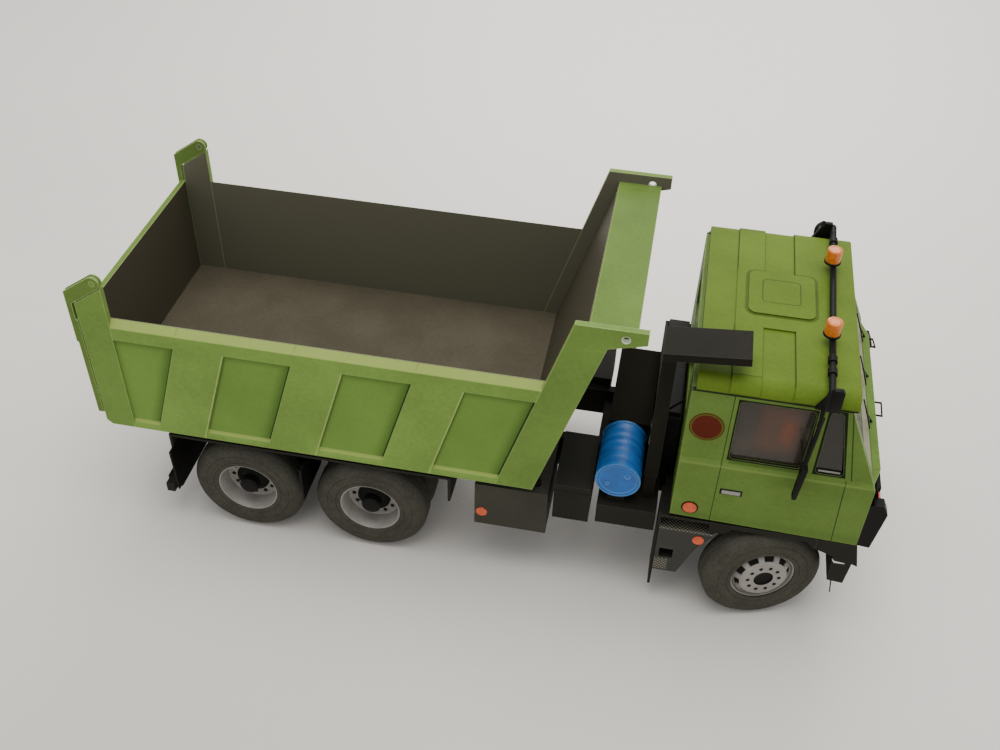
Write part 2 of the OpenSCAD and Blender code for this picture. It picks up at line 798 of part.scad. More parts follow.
module light_bar() {
    color(BLACK) {
        at_light_bar() rod_y(0, light_bar_z, -foot_in - 0.5, foot_in + 0.5, 0.9);
        both_sides() block([bar_front_x - 1.8, -foot_out, gutter_z + 0.3],
                           [bar_front_x + 1.8, -foot_in, light_bar_z + 0.6]);
    }
}

module beacons() {
    color(ORANGE) for (y = beacon_y)
        at_light_bar() translate([-beacon_back, y, light_bar_z + 0.9]) cylinder(r = beacon_r, h = beacon_h);
}

// Tall mirrors on an arm from the light bar's foot
mirror_y = 43.4;
mirror_x = front_x + 2.9;
mirror_z = [belt_z - 4.6, belt_z + 7.2];
mirror_arm = 1;

module mirrors() {
    arm_z = gutter_z + 1.6;
    color(BLACK) both_sides() {
        block([mirror_x - 1.1, -mirror_y - 1.9, mirror_z[0]], [mirror_x + 0.9, -mirror_y + 1.9, mirror_z[1]]);
        block([mirror_x - 0.2, -mirror_y - mirror_arm / 2, mirror_z[1] - 1],
              [mirror_x - 0.2 + mirror_arm, -mirror_y + mirror_arm / 2, arm_z + mirror_arm]);
        block([mirror_x - 0.2, -mirror_y - mirror_arm / 2, arm_z],
              [bar_front_x + 1.6, -mirror_y + mirror_arm / 2, arm_z + mirror_arm]);
        block([bar_front_x - 1.6, -mirror_y - mirror_arm / 2, arm_z], [bar_front_x + 1.6, -foot_out, arm_z + mirror_arm]);
    }
}

// ---- Bed ----

wall_line = -6.6;
front_wall_t = 1.2;
floor_t = 1.2;
ear_x = bed_front_x + lean_at(post_top_z) + ear_reach;

// X of the front wall's inner face at a height
function wall_x(z) = bed_front_x + wall_line + lean_at(z);

// X of the front edge of the front posts at a height
function post_x(z) = bed_front_x + lean_at(z);

module bed_floor() {
    low = floor_z - floor_t;
    color(DARK) along_y(-wall_in, wall_in)
        polygon([[post_back_x, low], [wall_x(low), low], [wall_x(floor_z), floor_z], [post_back_x, floor_z]]);
}

module bed_front_wall() {
    top = post_top_z - canopy_drop - 1.2;
    color(GREEN) {
        along_y(-wall_in, wall_in)
            polygon([[wall_x(bed_bottom_z), bed_bottom_z], [wall_x(bed_bottom_z) + front_wall_t, bed_bottom_z],
                     [wall_x(top) + front_wall_t, top], [wall_x(top), top]]);
        for (y = [-24, 0, 24]) along_y(y - 2.5, y + 2.5)
            polygon([[wall_x(bed_bottom_z) + front_wall_t - 0.01, bed_bottom_z],
                     [wall_x(bed_bottom_z) + front_wall_t + 1.5, bed_bottom_z],
                     [wall_x(top) + front_wall_t + 1.5, top], [wall_x(top) + front_wall_t - 0.01, top]]);
    }
}

module bed_canopy() {
    top = post_top_z - canopy_drop;
    front = ear_x - 2.9;
    color(GREEN) {
        block([wall_x(top), -wall_in, top - 1.2], [front, wall_in, top]);
        block([front - 1, -wall_in, top - 3.4], [front, wall_in, top - 1.1]);
    }
}

beam_low = frame_top + gap;
lug_out = rail_inner - gap;
lug_t = 2;

bearer_top = floor_z - floor_t;

module bed_beams() {
    color(BLACK) both_sides()
        block([post_back_x + 2, -rail_outer, beam_low], [wall_x(bed_bottom_z) - 1, -rail_inner, bed_bottom_z]);
}

module bed_bearers() {
    color(BLACK) for (i = [0 : 5]) {
        x = post_back_x + 2 + i * (bed_len - 14) / 5;
        block([x, -wall_in, bed_bottom_z], [x + 2, wall_in, bearer_top]);
    }
}

// Lugs between the frame rails, on the pin that the bed tips about
module bed_hinge() {
    color(BLACK) {
        both_sides() {
            block([hinge_x - hinge_drop, -lug_out, hinge_z], [hinge_x + hinge_drop, -lug_out + lug_t, bearer_top]);
            rod_y(hinge_x, hinge_z, -lug_out, -lug_out + lug_t, hinge_drop);
            block([hinge_x - hinge_drop, -rail_inner, beam_low], [hinge_x + hinge_drop, -lug_out + lug_t, bearer_top]);
        }
        rod_y(hinge_x, hinge_z, -rail_outer, rail_outer, tip_pin_r);
    }
}

// The side between its two posts, seen from the right
module side_field() {
    polygon([[post_front_x, bed_bottom_z], [post_x(bed_bottom_z) - front_post_w, bed_bottom_z],
             [post_x(bed_top_z) - front_post_w, bed_top_z], [post_front_x, bed_top_z]]);
}

// Rear post up to the line under the tailgate's hooked arm
arm_slope = 35;
arm_dir = [cos(arm_slope), sin(arm_slope)];

module rear_post_outline() {
    drop = (arm_r + gap) / cos(arm_slope);
    pin_line = gate_pin_z - drop;
    polygon([[post_back_x, bed_bottom_z + 1.6], [post_back_x + 1.6, bed_bottom_z],
             [post_front_x, bed_bottom_z],
             [post_front_x, pin_line + (post_front_x - gate_pin_x) * tan(arm_slope)],
             [post_back_x, pin_line + (post_back_x - gate_pin_x) * tan(arm_slope)]]);
}

tongue_y = [-(bed_half_w - arm_t - arm_gap), -(wall_in + arm_t + arm_gap)];

rib_start = 18.2;

module bed_side_right() {
    rib_pitch = (post_x(rail_low_z) - front_post_w - (post_front_x + rib_start)) / rib_count;
    color(GREEN) intersection() {
        along_y(-bed_half_w, -wall_in) side_field();
        union() {
            along_x(post_back_x, ear_x) union() {
                // wall
                translate([-wall_out, bed_bottom_z]) square([wall_t, bed_side_h - chamfer_h]);
                // top rail with its chamfer
                polygon([[-wall_in, rail_low_z - 0.1], [-wall_in, bed_top_z], [-bed_half_w, rail_top_z],
                         [-bed_half_w, rail_low_z], [-wall_out, rail_low_z - 0.1]]);
                // bottom rail with its fold
                polygon([[-wall_out + 0.1, bed_bottom_z], [-bed_half_w, bed_bottom_z],
                         [-bed_half_w, bed_bottom_z + bottom_rail_h * 0.6],
                         [-wall_out + 0.1, bed_bottom_z + bottom_rail_h * 1.7]]);
            }
            // ribs
            for (i = [0 : rib_count - 1]) along_y(-bed_half_w, -wall_out + 0.1) {
                x = post_front_x + rib_start + i * rib_pitch - (rail_low_z - bed_bottom_z) * bed_lean;
                polygon([[x, bed_bottom_z + 0.1], [x + rib_w, bed_bottom_z + 0.1],
                         [x + rib_w + lean_at(rail_low_z), rail_low_z + 0.1],
                         [x + lean_at(rail_low_z), rail_low_z + 0.1]]);
            }
        }
    }
}

module bed_side_left() { mirror([0, 1, 0]) bed_side_right(); }

// Leaning front posts with the lifting ears
module bed_front_posts() {
    color(GREEN) both_sides() difference() {
        along_y(-bed_half_w, -wall_in)
            polygon([[post_x(bed_bottom_z) - front_post_w, bed_bottom_z],
                     [post_x(bed_bottom_z), bed_bottom_z], [post_x(post_top_z - 6.7), post_top_z - 6.7],
                     [ear_x, post_top_z - 3.8], [ear_x, post_top_z],
                     [post_x(post_top_z) - front_post_w, post_top_z]]);
        rod_y(ear_x - 5.7, post_top_z - 2.9, -bed_half_w - 1, -wall_in + 1, eye_r);
    }
}

// Rear posts, each with the tongue and pin that carry the tailgate's arm
module bed_rear_posts() {
    color(GREEN) both_sides() {
        along_y(-bed_half_w, -wall_in) rear_post_outline();
        rod_y(gate_pin_x, gate_pin_z, tongue_y[0], tongue_y[1], arm_r - 0.3);
        block([gate_pin_x - 1.8, tongue_y[0], gate_pin_z - 8], [gate_pin_x + 1.8, tongue_y[1], gate_pin_z]);
        rod_y(gate_pin_x, gate_pin_z, -bed_half_w, -wall_in, gate_pin_r);
    }
}

// Tailgate behind the posts, hung from hooked arms on the posts' pins
gate_low_z = bed_bottom_z + 4.6;
strap_low_z = bed_bottom_z + 32;

module hook_outline() {
    translate([gate_pin_x, gate_pin_z]) {
        circle(r = arm_r);
        rotate(arm_slope) translate([-(gate_pin_x - gate_back_x) / cos(arm_slope) - 3, -arm_r])
            square([(gate_pin_x - gate_back_x) / cos(arm_slope) + 3, 2 * arm_r]);
    }
}

module tailgate() {
    cheek_out = bed_half_w;
    cheek_in = wall_in;
    color(GREEN) {
        block([gate_back_x + 0.5, -bed_half_w, gate_low_z], [gate_back_x + gate_t, bed_half_w, gate_top_z]);
        both_sides() difference() {
            union() {
                for (y = [cheek_out, cheek_in + arm_t]) along_y(-y, -y + arm_t) intersection() {
                    hook_outline();
                    translate([gate_back_x, gate_pin_z - 20]) square([20, 40]);
                }
                block([gate_back_x, -cheek_out, strap_low_z],
                      [gate_back_x + gate_t - 0.6, -cheek_in, gate_pin_z - 5.4]);
            }
            rod_y(gate_pin_x, gate_pin_z, -cheek_out - 1, -cheek_in + 1, gate_pin_r + pin_fit);
        }
    }
}

frame_rails();
cross_members();
axle_mounts();
backbone_tube();
front_axle();
knuckle_right();
knuckle_left();
rear_axles();
rear_mudguards();
rear_underrun();
fuel_tanks();
battery_boxes();
side_trays();
blue_drum();
filter_box();
air_intake();
cab_floor();
cab_back_wall();
cab_side_right();
cab_side_left();
cab_front();
cab_roof();
windows();
dashboard();
steering_wheel();
seats();
front_bumper();
front_skirt();
cab_steps();
front_mudguards();
light_bar();
beacons();
mirrors();
bed_floor();
bed_beams();
bed_bearers();
bed_hinge();
bed_side_right();
bed_side_left();
bed_front_posts();
bed_rear_posts();
bed_front_wall();
bed_canopy();
tailgate();
front_tyre_right();
front_rim_right();
front_tyre_left();
front_rim_left();
mid_tyres_right();
mid_rims_right();
mid_tyres_left();
mid_rims_left();
rear_tyres_right();
rear_rims_right();
rear_tyres_left();
rear_rims_left();
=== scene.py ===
"""Looks of a hand-built card model of a three-axle tipper lorry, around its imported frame.

Sizes and places are in millimetres in the frame's own axes: X runs forward, Y to the lorry's
left and Z up, with the floor at zero. Each piece is shaped with Blender's own operators, sits
at the origin with its place in its mesh, and rides on one body of the frame.
"""

import logging
import math
from dataclasses import dataclass, field
from enum import Enum
from functools import reduce
from typing import Any, Callable, Iterable, Sequence

import bmesh
import bpy
from mathutils import Matrix, Vector


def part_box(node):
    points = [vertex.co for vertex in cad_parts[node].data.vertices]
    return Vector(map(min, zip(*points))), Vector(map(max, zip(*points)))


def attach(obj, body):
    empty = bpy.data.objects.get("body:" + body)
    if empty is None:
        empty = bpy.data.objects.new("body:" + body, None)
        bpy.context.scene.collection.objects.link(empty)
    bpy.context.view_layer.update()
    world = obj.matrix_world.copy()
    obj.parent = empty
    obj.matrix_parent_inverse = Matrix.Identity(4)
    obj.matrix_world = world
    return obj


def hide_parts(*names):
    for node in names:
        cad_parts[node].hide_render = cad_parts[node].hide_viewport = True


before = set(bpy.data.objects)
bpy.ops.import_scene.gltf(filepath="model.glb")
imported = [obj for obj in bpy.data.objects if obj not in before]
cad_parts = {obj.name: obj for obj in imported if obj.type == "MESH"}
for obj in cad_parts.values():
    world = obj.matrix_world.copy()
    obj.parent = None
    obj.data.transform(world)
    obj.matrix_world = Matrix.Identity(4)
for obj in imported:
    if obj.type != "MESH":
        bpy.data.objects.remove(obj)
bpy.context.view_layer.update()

LOG = logging.getLogger("tipper_lorry")
MM = 0.001
RIGHT = -1.0
LEFT = 1.0
SIDES = (RIGHT, LEFT)
SIDE_NAMES = {RIGHT: "right", LEFT: "left"}

Colour = tuple[float, float, float]
Point = tuple[float, float, float]
Span = tuple[float, float]


def linear(red: int, green: int, blue: int) -> Colour:
    """Turns a paint chip's 0 to 255 values into linear light.

    Args:
        red: Red, 0 to 255.
        green: Green, 0 to 255.
        blue: Blue, 0 to 255.

    Returns:
        The three linear values.
    """
    return tuple((part / 255) ** 2.2 for part in (red, green, blue))


def opaque(colour: Colour) -> tuple[float, float, float, float]:
    """Returns the colour with full alpha, as a colour socket takes it."""
    return (*colour, 1.0)


def scaled(colour: Colour, factor: float) -> Colour:
    """Returns the colour made lighter or darker by a factor."""
    return tuple(part * factor for part in colour)


# ---- Materials ----


class Value:
    """One output socket of a node, which can be used in a sum."""

    def __init__(self, graph: "Graph", socket: bpy.types.NodeSocket) -> None:
        """Wraps a socket.

        Args:
            graph: The graph that the socket is in.
            socket: The output socket.
        """
        self.graph = graph
        self.socket = socket

    def __add__(self, other: Any) -> "Value":
        """Returns self + other."""
        return self.graph.maths("ADD", self, other)

    def __radd__(self, other: Any) -> "Value":
        """Returns other + self."""
        return self.graph.maths("ADD", other, self)

    def __sub__(self, other: Any) -> "Value":
        """Returns self - other."""
        return self.graph.maths("SUBTRACT", self, other)

    def __rsub__(self, other: Any) -> "Value":
        """Returns other - self."""
        return self.graph.maths("SUBTRACT", other, self)

    def __mul__(self, other: Any) -> "Value":
        """Returns self * other."""
        return self.graph.maths("MULTIPLY", self, other)


class Graph:
    """The node tree of one material, with the few kinds of step that the finishes use."""

    def __init__(self, name: str) -> None:
        """Starts an empty material.

        Args:
            name: The material's name.
        """
        self.material = bpy.data.materials.new(f"{name}_finish")
        self.material.use_nodes = True
        self.tree = self.material.node_tree
        self.tree.nodes.clear()
        self.place = self.node("ShaderNodeTexCoord", output="Object")

    def node(self, kind: str, settings: dict[str, Any] | None = None,
             inputs: dict[Any, Any] | None = None, output: Any = 0) -> Value:
        """Adds one node.

        Args:
            kind: The node's type name.
            settings: Attributes that are set before the sockets.
            inputs: Values or links by socket name or number.
            output: Name or number of the output that is handed back.

        Returns:
            The chosen output.
        """
        item = self.tree.nodes.new(kind)
        for key, value in (settings or {}).items():
            setattr(item, key, value)
        for key, value in (inputs or {}).items():
            if isinstance(value, Value):
                self.tree.links.new(value.socket, item.inputs[key])
            else:
                item.inputs[key].default_value = value
        return Value(self, item.outputs[output])

    def maths(self, operation: str, *values: Any) -> Value:
        """Adds a Math node.

        Args:
            operation: The node's operation.
            values: Its operands, numbers or Values.

        Returns:
            The result.
        """
        return self.node("ShaderNodeMath", {"operation": operation}, dict(enumerate(values)))

    def axes(self) -> tuple[Value, Value, Value]:
        """Splits the place on the piece into its three axes.

        Returns:
            The place along X, Y and Z, in millimetres.
        """
        parts = self.tree.nodes.new("ShaderNodeSeparateXYZ")
        self.tree.links.new(self.place.socket, parts.inputs[0])
        return tuple(Value(self, parts.outputs[name]) * 1000.0 for name in "XYZ")

    def step(self, value: Value, low: float, high: float) -> Value:
        """Rises smoothly from 0 to 1 as the value goes from low to high.

        Args:
            value: The value that is followed.
            low: Where the rise starts.
            high: Where it ends; below low for a fall.

        Returns:
            The mask.
        """
        if low < high:
            return self.node("ShaderNodeMapRange", {"interpolation_type": "SMOOTHSTEP"},
                             {"Value": value, "From Min": low, "From Max": high}, "Result")
        return 1.0 - self.step(value, high, low)

    def band(self, value: Value, low: float, high: float, soft: float = 0.06) -> Value:
        """Is 1 between low and high.

        Args:
            value: The value that is followed.
            low: Lower end of the band.
            high: Upper end of the band.
            soft: Half the width of each end's blur.

        Returns:
            The mask.
        """
        return self.step(value, low - soft, low + soft) * self.step(value, high + soft, high - soft)

    def noise(self, size: float, detail: float = 3.0, stretch: Point = (1, 1, 1)) -> Value:
        """Adds cloud-like noise.

        Args:
            size: Size of one blotch in millimetres.
            detail: Number of finer layers.
            stretch: How much denser the noise is along each axis.

        Returns:
            The noise, about 0.5 on average.
        """
        where = self.node("ShaderNodeMapping", None, {"Vector": self.place, "Scale": stretch})
        return self.node("ShaderNodeTexNoise", None,
                         {"Vector": where, "Scale": 1 / (size * MM), "Detail": detail,
                          "Roughness": 0.6}, "Fac")

    def mix(self, factor: Any, first: Any, second: Any) -> Value:
        """Blends two colours.

        Args:
            factor: Share of the second colour.
            first: A linear colour or a Value.
            second: A linear colour or a Value.

        Returns:
            The blended colour.
        """
        first, second = (c if isinstance(c, Value) else opaque(c) for c in (first, second))
        return self.node("ShaderNodeMix", {"data_type": "RGBA", "clamp_factor": True},
                         {0: factor, 6: first, 7: second}, 2)

    def either(self, *masks: Value) -> Value:
        """Returns the highest of the masks."""
        return reduce(lambda first, second: self.maths("MAXIMUM", first, second), masks)

    def distance(self, first: Value, second: Value) -> Value:
        """Returns how far a place is from a middle, told its offset along two axes."""
        return self.maths("SQRT", first * first + second * second)

    def shades(self, tone: Value, colour: Colour, low: float, high: float) -> Value:
        """Varies a colour between two factors as the tone goes from 0 to 1."""
        return self.mix(tone, scaled(colour, low), scaled(colour, high))

    def edge(self, radius: float) -> Value:
        """Marks what lies near an edge of the mesh.

        Args:
            radius: How far the mark reaches, in millimetres.

        Returns:
            The mask, 1 along an edge.
        """
        bent = self.node("ShaderNodeBevel", {"samples": 6}, {"Radius": radius * MM})
        flat = self.node("ShaderNodeNewGeometry", output="Normal")
        same = self.node("ShaderNodeVectorMath", {"operation": "DOT_PRODUCT"},
                         {0: bent, 1: flat}, "Value")
        return self.step(same, 0.985, 0.86)

    def surface(self, varying: dict[str, Any], constants: dict[str, Any],
                height: Value | None = None, strength: float = 0.2,
                distance: float = 0.1) -> bpy.types.Material:
        """Ends the graph in a Principled shader.

        Args:
            varying: Sockets that change over the surface.
            constants: Sockets that are the same all over.
            height: Relief that bends the light.
            strength: Strength of the relief.
            distance: Depth of the relief in millimetres.

        Returns:
            The finished material.
        """
        inputs = {**constants, **varying}
        if height is not None:
            inputs["Normal"] = self.node("ShaderNodeBump", None,
                                         {"Height": height, "Strength": strength,
                                          "Distance": distance * MM})
        shader = self.node("ShaderNodeBsdfPrincipled", None, inputs)
        end = self.tree.nodes.new("ShaderNodeOutputMaterial")
        self.tree.links.new(shader.socket, end.inputs["Surface"])
        return self.material


class Print(Enum):
    """What is printed on a sheet of card over its plain colour, painted light and shade included: a method
    of Picture.
    """

    PLAIN = "plain"
    BED_SIDE = "bed_side"
    CAB_SIDE = "cab_side"
    CAB_FRONT = "cab_front"
    CAB_ROOF = "cab_roof"
    INSIDE_POSTS = "inside_posts"
    INSIDE_FRONT = "inside_front"
    INSIDE_GATE = "inside_gate"


@dataclass(frozen=True)
class BedLines:
    """Places on the bed that its printed card and its painted light and shade follow; a span rises or falls
    from its first end.
    """

    bottom_z: float = 40.0
    lean: float = 0.304
    rail_low_z: float = 74.55
    first_rib: float = -86.9
    rib_pitch: float = 34.834
    rib_edge: Span = (14.9, 15.1)
    panel_face: Span = (38.55, 38.4)
    panel_foot: Span = (42.2, 43.0)
    panel_head: Span = (75.0, 74.4)
    shade_front: Span = (30.6, 34.6)
    shade_rear: Span = (16.2, 15.0)
    shade_head: Span = (71.4, 74.4)
    edge_shadow_at: Span = (34.35, 34.9)
    edge_shadow_foot: Span = (42.8, 43.4)
    edge_shadow_face: Span = (38.7, 38.5)
    light_at: Span = (14.55, 15.1)
    light_face: Span = (38.5, 38.8)
    light_head: Span = (75.0, 74.2)
    light_rear: Span = (-90.0, -88.0)
    chamfer: Span = (78.75, 79.1)
    ledge: Span = (42.0, 43.3)
    ledge_face: Span = (39.04, 38.9)
    inner_face: Span = (37.4, 37.27)
    post_face: Span = (38.1, 37.9)
    post_head: Span = (79.2, 78.9)
    eye_x: float = 39.77
    eye_z: float = 100.5
    eye_rim: Span = (1.3, 1.15)
    eye_face: Span = (37.0, 37.3)
    wall_back: Span = (11.75, 11.6)
    gate_front: Span = (-114.55, -114.4)
    gate_side: Span = (37.25, 37.1)
    gate_head: Span = (82.6, 82.4)


@dataclass(frozen=True)
class CabLines:
    """Places on the cab that its printed card and its painted light and shade follow."""

    belt_z: float = 62.0
    rear_seam: Span = (69.62, 69.88)
    front_seam: Span = (103.0, 103.3)
    front_seam_lean: float = 0.045
    front_seam_head: Span = (62.4, 62.0)
    pillar: Span = (104.4, 104.75)
    pillar_lean: float = 0.195
    pillar_foot: Span = (62.2, 62.6)
    fold: Span = (60.6, 61.4)
    sill_x: Span = (71.5, 92.0)
    sill_z: Span = (62.3, 63.7)
    mirror_shadow_x: Span = (84.0, 92.0)
    mirror_shadow_z: Span = (56.4, 60.2)
    skirting: Span = (43.0, 40.6)
    door_x: Span = (70.85, 91.55)
    door_z: Span = (63.45, 84.7)
    quarter_rear: Span = (93.75, 93.95)
    quarter_front: Span = (102.75, 102.55)
    quarter_foot: float = 63.5
    quarter_lean: float = 0.183
    quarter_z: Span = (63.0, 85.4)
    gutter: Span = (85.5, 86.2)
    inner_side: Span = (37.9, 37.8)
    inner_belt: Span = (62.0, 61.8)
    screen_y: Span = (-1.0, 35.0)
    screen_z: Span = (63.6, 84.5)
    front_fold_y: Span = (30.1, 30.4)
    front_fold_z: Span = (57.8, 58.05)
    front_fold_head: Span = (60.4, 60.2)
    inner_front: Span = (109.9, 109.7)
    inner_front_head: Span = (60.2, 60.0)
    pad_front: Span = (84.1, 84.5)
    pad_rear: Span = (67.75, 68.1)
    pad_middle: Span = (75.6, 75.9)
    pad_start: Span = (12.0, 13.6)
    pad_end: Span = (35.6, 35.2)
    pad_join_y: Span = (33.9, 34.2)
    pad_join_x: Span = (67.9, 75.8)
    roof_edge: Span = (86.5, 86.3)


@dataclass(frozen=True)
class RoundedFrame:
    """A rounded rectangle that is drawn as a line on the roof."""

    x: float
    y: float
    half_x: float
    half_y: float
    corner: float
    width: float


BED = BedLines()
CAB = CabLines()
HATCH_PANE = RoundedFrame(80.5, 3.8, 5.3, 5.4, 1.4, 0.28)
HATCH_RIM = RoundedFrame(80.6, 3.0, 9.75, 10.5, 2.6, 0.9)
INSIDE_COLOUR = linear(104, 102, 86)
INSIDE_DARK = linear(78, 74, 61)
INSIDE_FLOOR = linear(84, 79, 66)


@dataclass(frozen=True)
class Ink:
    """A colour that is laid over the card, as print and as painted light and shade, and how much of it."""

    colour: Colour
    share: float = 1.0


PANEL_INK = Ink(linear(98, 134, 58), 0.4)
PANEL_SHADE = Ink(linear(50, 80, 32), 0.5)
PANEL_EDGE_SHADOW = Ink(linear(28, 42, 26), 0.8)
RIB_LIGHT = Ink(linear(170, 190, 110), 0.6)
CHAMFER_HIGHLIGHT = Ink(linear(176, 190, 104), 0.62)
LEDGE_HIGHLIGHT = Ink(linear(176, 194, 104), 0.55)
EYE_PALE = Ink(linear(214, 216, 204))
SEAM_INK = Ink(linear(26, 36, 20), 0.75)
FRONT_SEAM_INK = Ink(linear(26, 36, 20), 0.7)
BELT_FOLD_HIGHLIGHT = Ink(linear(170, 190, 105), 0.22)
SILL_SHADE = Ink(linear(58, 78, 30), 0.5)
MIRROR_SHADOW = Ink(linear(70, 96, 40), 0.25)
SKIRTING_SHADE = Ink(linear(60, 84, 36), 0.18)
WINDOW_FRAME = Ink(linear(22, 23, 20), 0.93)
GUTTER_INK = Ink(linear(20, 22, 16), 0.9)
CAB_INSIDE = Ink(linear(60, 50, 40))
SCREEN_PALE = Ink(linear(150, 146, 128), 0.9)
ROOF_LINE = Ink(linear(48, 62, 28), 0.6)
HATCH_LINE = Ink(linear(48, 62, 28), 0.8)
HATCH_SHADE = Ink(linear(48, 62, 28), 0.55)
ROOF_EDGE = Ink(linear(22, 24, 18), 0.9)


class Picture:
    """The picture that is printed over one sheet's plain colour, with painted light and shade among its
    marks.
    """

    def __init__(self, graph: Graph, colour: Value) -> None:
        """Starts from the plain sheet.

        Args:
            graph: The graph.
            colour: The plain colour.
        """
        self.graph = graph
        self.colour = colour
        self.x, self.y, self.z = graph.axes()
        self.out = graph.maths("ABSOLUTE", self.y)

    def ink(self, mask: Value, ink: Ink) -> None:
        """Lays an ink where the mask is 1."""
        self.colour = self.graph.mix(mask * ink.share, self.colour, ink.colour)

    def plain(self) -> None:
        """Prints nothing."""

    def bed_side(self) -> None:
        """Shades the panels between the ribs with painted shade and a painted shadow line at their front
        edges, paints highlights on the rail's chamfer and on the ledge, and darkens the inside.
        """
        g, z, out = self.graph, self.z, self.out
        along = self.x - (z - BED.rail_low_z) * BED.lean
        turn = g.maths("FLOORED_MODULO", along - BED.first_rib, BED.rib_pitch)
        before = g.step(along, BED.first_rib + 0.1, BED.first_rib - 0.1)
        panel = g.either(g.step(turn, *BED.rib_edge), before)
        panel = panel * g.step(out, *BED.panel_face) * g.step(z, *BED.panel_foot) \
            * g.step(z, *BED.panel_head)
        shade = g.either(g.step(turn, *BED.shade_front), g.step(turn, *BED.shade_rear),
                         g.step(z, *BED.shade_head) * 0.8)
        self.ink(panel, PANEL_INK)
        # Painted shade towards the edges of each recessed panel.
        self.ink(panel * shade, PANEL_SHADE)
        # Painted shadow: a dark line along each panel's front edge, where the next rib stands out.
        self.ink(g.band(turn, *BED.edge_shadow_at, 0.15) * g.step(z, *BED.edge_shadow_foot)
                 * g.step(out, *BED.edge_shadow_face), PANEL_EDGE_SHADOW)
        self.ink(g.band(turn, *BED.light_at, 0.12) * g.step(out, *BED.light_face)
                 * g.step(z, *BED.light_head) * g.step(along, *BED.light_rear), RIB_LIGHT)
        # Painted highlight on the rail's upward-facing chamfer.
        self.ink(g.step(z, *BED.chamfer), CHAMFER_HIGHLIGHT)
        # Painted highlight on the sloped ledge along the foot of the panels.
        self.ink(g.band(z, *BED.ledge, 0.15) * g.step(out, *BED.ledge_face), LEDGE_HIGHLIGHT)
        self.ink(g.step(out, *BED.inner_face), Ink(INSIDE_COLOUR))

    def inside_posts(self) -> None:
        """Darkens the posts' inner faces and pales the bore of the lifting eye."""
        g, out = self.graph, self.out
        low = g.step(out, *BED.post_face) * g.step(self.z, *BED.post_head)
        self.ink(g.either(low, g.step(out, *BED.inner_face)), Ink(INSIDE_COLOUR))
        off = g.distance(self.x - BED.eye_x, self.z - BED.eye_z)
        self.ink(g.step(off, *BED.eye_rim) * g.step(out, *BED.eye_face), EYE_PALE)

    def inside_front(self) -> None:
        """Darkens the front wall's face towards the load."""
        off = self.x - (self.z - BED.bottom_z) * BED.lean
        self.ink(self.graph.step(off, *BED.wall_back), Ink(INSIDE_DARK))

    def inside_gate(self) -> None:
        """Darkens the tailgate's face towards the load."""
        g = self.graph
        self.ink(g.step(self.x, *BED.gate_front) * g.step(self.out, *BED.gate_side)
                 * g.step(self.z, *BED.gate_head), Ink(INSIDE_DARK))

    def cab_side(self) -> None:
        """Draws the door's lines and the window surrounds, with soft painted shade under the door window and
        towards the bottom, the mirror's painted shadow and a painted highlight along the belt fold.
        """
        g, x, z = self.graph, self.x, self.z
        slope = x - (CAB.belt_z - z) * CAB.front_seam_lean
        front_line = g.band(slope, *CAB.front_seam, 0.05) * g.step(z, *CAB.front_seam_head)
        pillar = g.band(x + (z - CAB.belt_z) * CAB.pillar_lean, *CAB.pillar, 0.05) \
            * g.step(z, *CAB.pillar_foot)
        self.ink(g.either(g.band(x, *CAB.rear_seam, 0.05), front_line, pillar), SEAM_INK)
        # Painted highlight along the belt fold.
        self.ink(g.band(z, *CAB.fold, 0.35), BELT_FOLD_HIGHLIGHT)
        # Painted shade under the door window's lower frame.
        self.ink(g.band(x, *CAB.sill_x, 0.4) * g.band(z, *CAB.sill_z, 0.25), SILL_SHADE)
        # Painted shadow of the mirror on the door.
        self.ink(g.band(x, *CAB.mirror_shadow_x, 3.5) * g.band(z, *CAB.mirror_shadow_z, 1.6), MIRROR_SHADOW)
        self.ink(g.step(z, *CAB.skirting), SKIRTING_SHADE)
        door = g.band(x, *CAB.door_x, 0.08) * g.band(z, *CAB.door_z, 0.08)
        lean = x + (z - CAB.quarter_foot) * CAB.quarter_lean
        quarter = g.step(x, *CAB.quarter_rear) * g.step(lean, *CAB.quarter_front) \
            * g.band(z, *CAB.quarter_z, 0.08)
        self.ink(g.either(door, quarter), WINDOW_FRAME)
        self.ink(g.band(z, *CAB.gutter, 0.1), GUTTER_INK)
        self.ink(g.step(self.out, *CAB.inner_side) * g.step(z, *CAB.inner_belt), CAB_INSIDE)

    def cab_front(self) -> None:
        """Draws the surround of the windscreen and the panel's fold lines."""
        g, z, out = self.graph, self.z, self.out
        self.ink(g.band(out, *CAB.screen_y, 0.05) * g.band(z, *CAB.screen_z, 0.05), SCREEN_PALE)
        lines = g.either(g.band(out, *CAB.front_fold_y, 0.05), g.band(z, *CAB.front_fold_z, 0.05))
        self.ink(lines * g.step(z, *CAB.front_fold_head), FRONT_SEAM_INK)
        self.ink(g.step(self.x, *CAB.inner_front) * g.step(z, *CAB.inner_front_head), CAB_INSIDE)

    def cab_roof(self) -> None:
        """Draws soft printed lines round the pads, the hatch and along the gutter."""
        g, x, out = self.graph, self.x, self.out
        cross = g.either(g.band(x, *CAB.pad_rear, 0.12), g.band(x, *CAB.pad_front, 0.12),
                         g.band(x, *CAB.pad_middle, 0.1) * 0.6)
        self.ink(cross * g.step(out, *CAB.pad_start) * g.step(out, *CAB.pad_end), ROOF_LINE)
        self.ink(self.outline(HATCH_PANE), HATCH_LINE)
        self.ink(self.outline(HATCH_RIM), HATCH_SHADE)
        self.ink(g.band(out, *CAB.pad_join_y, 0.1) * g.band(x, *CAB.pad_join_x, 0.1), ROOF_LINE)
        self.ink(g.step(self.z, *CAB.roof_edge), ROOF_EDGE)

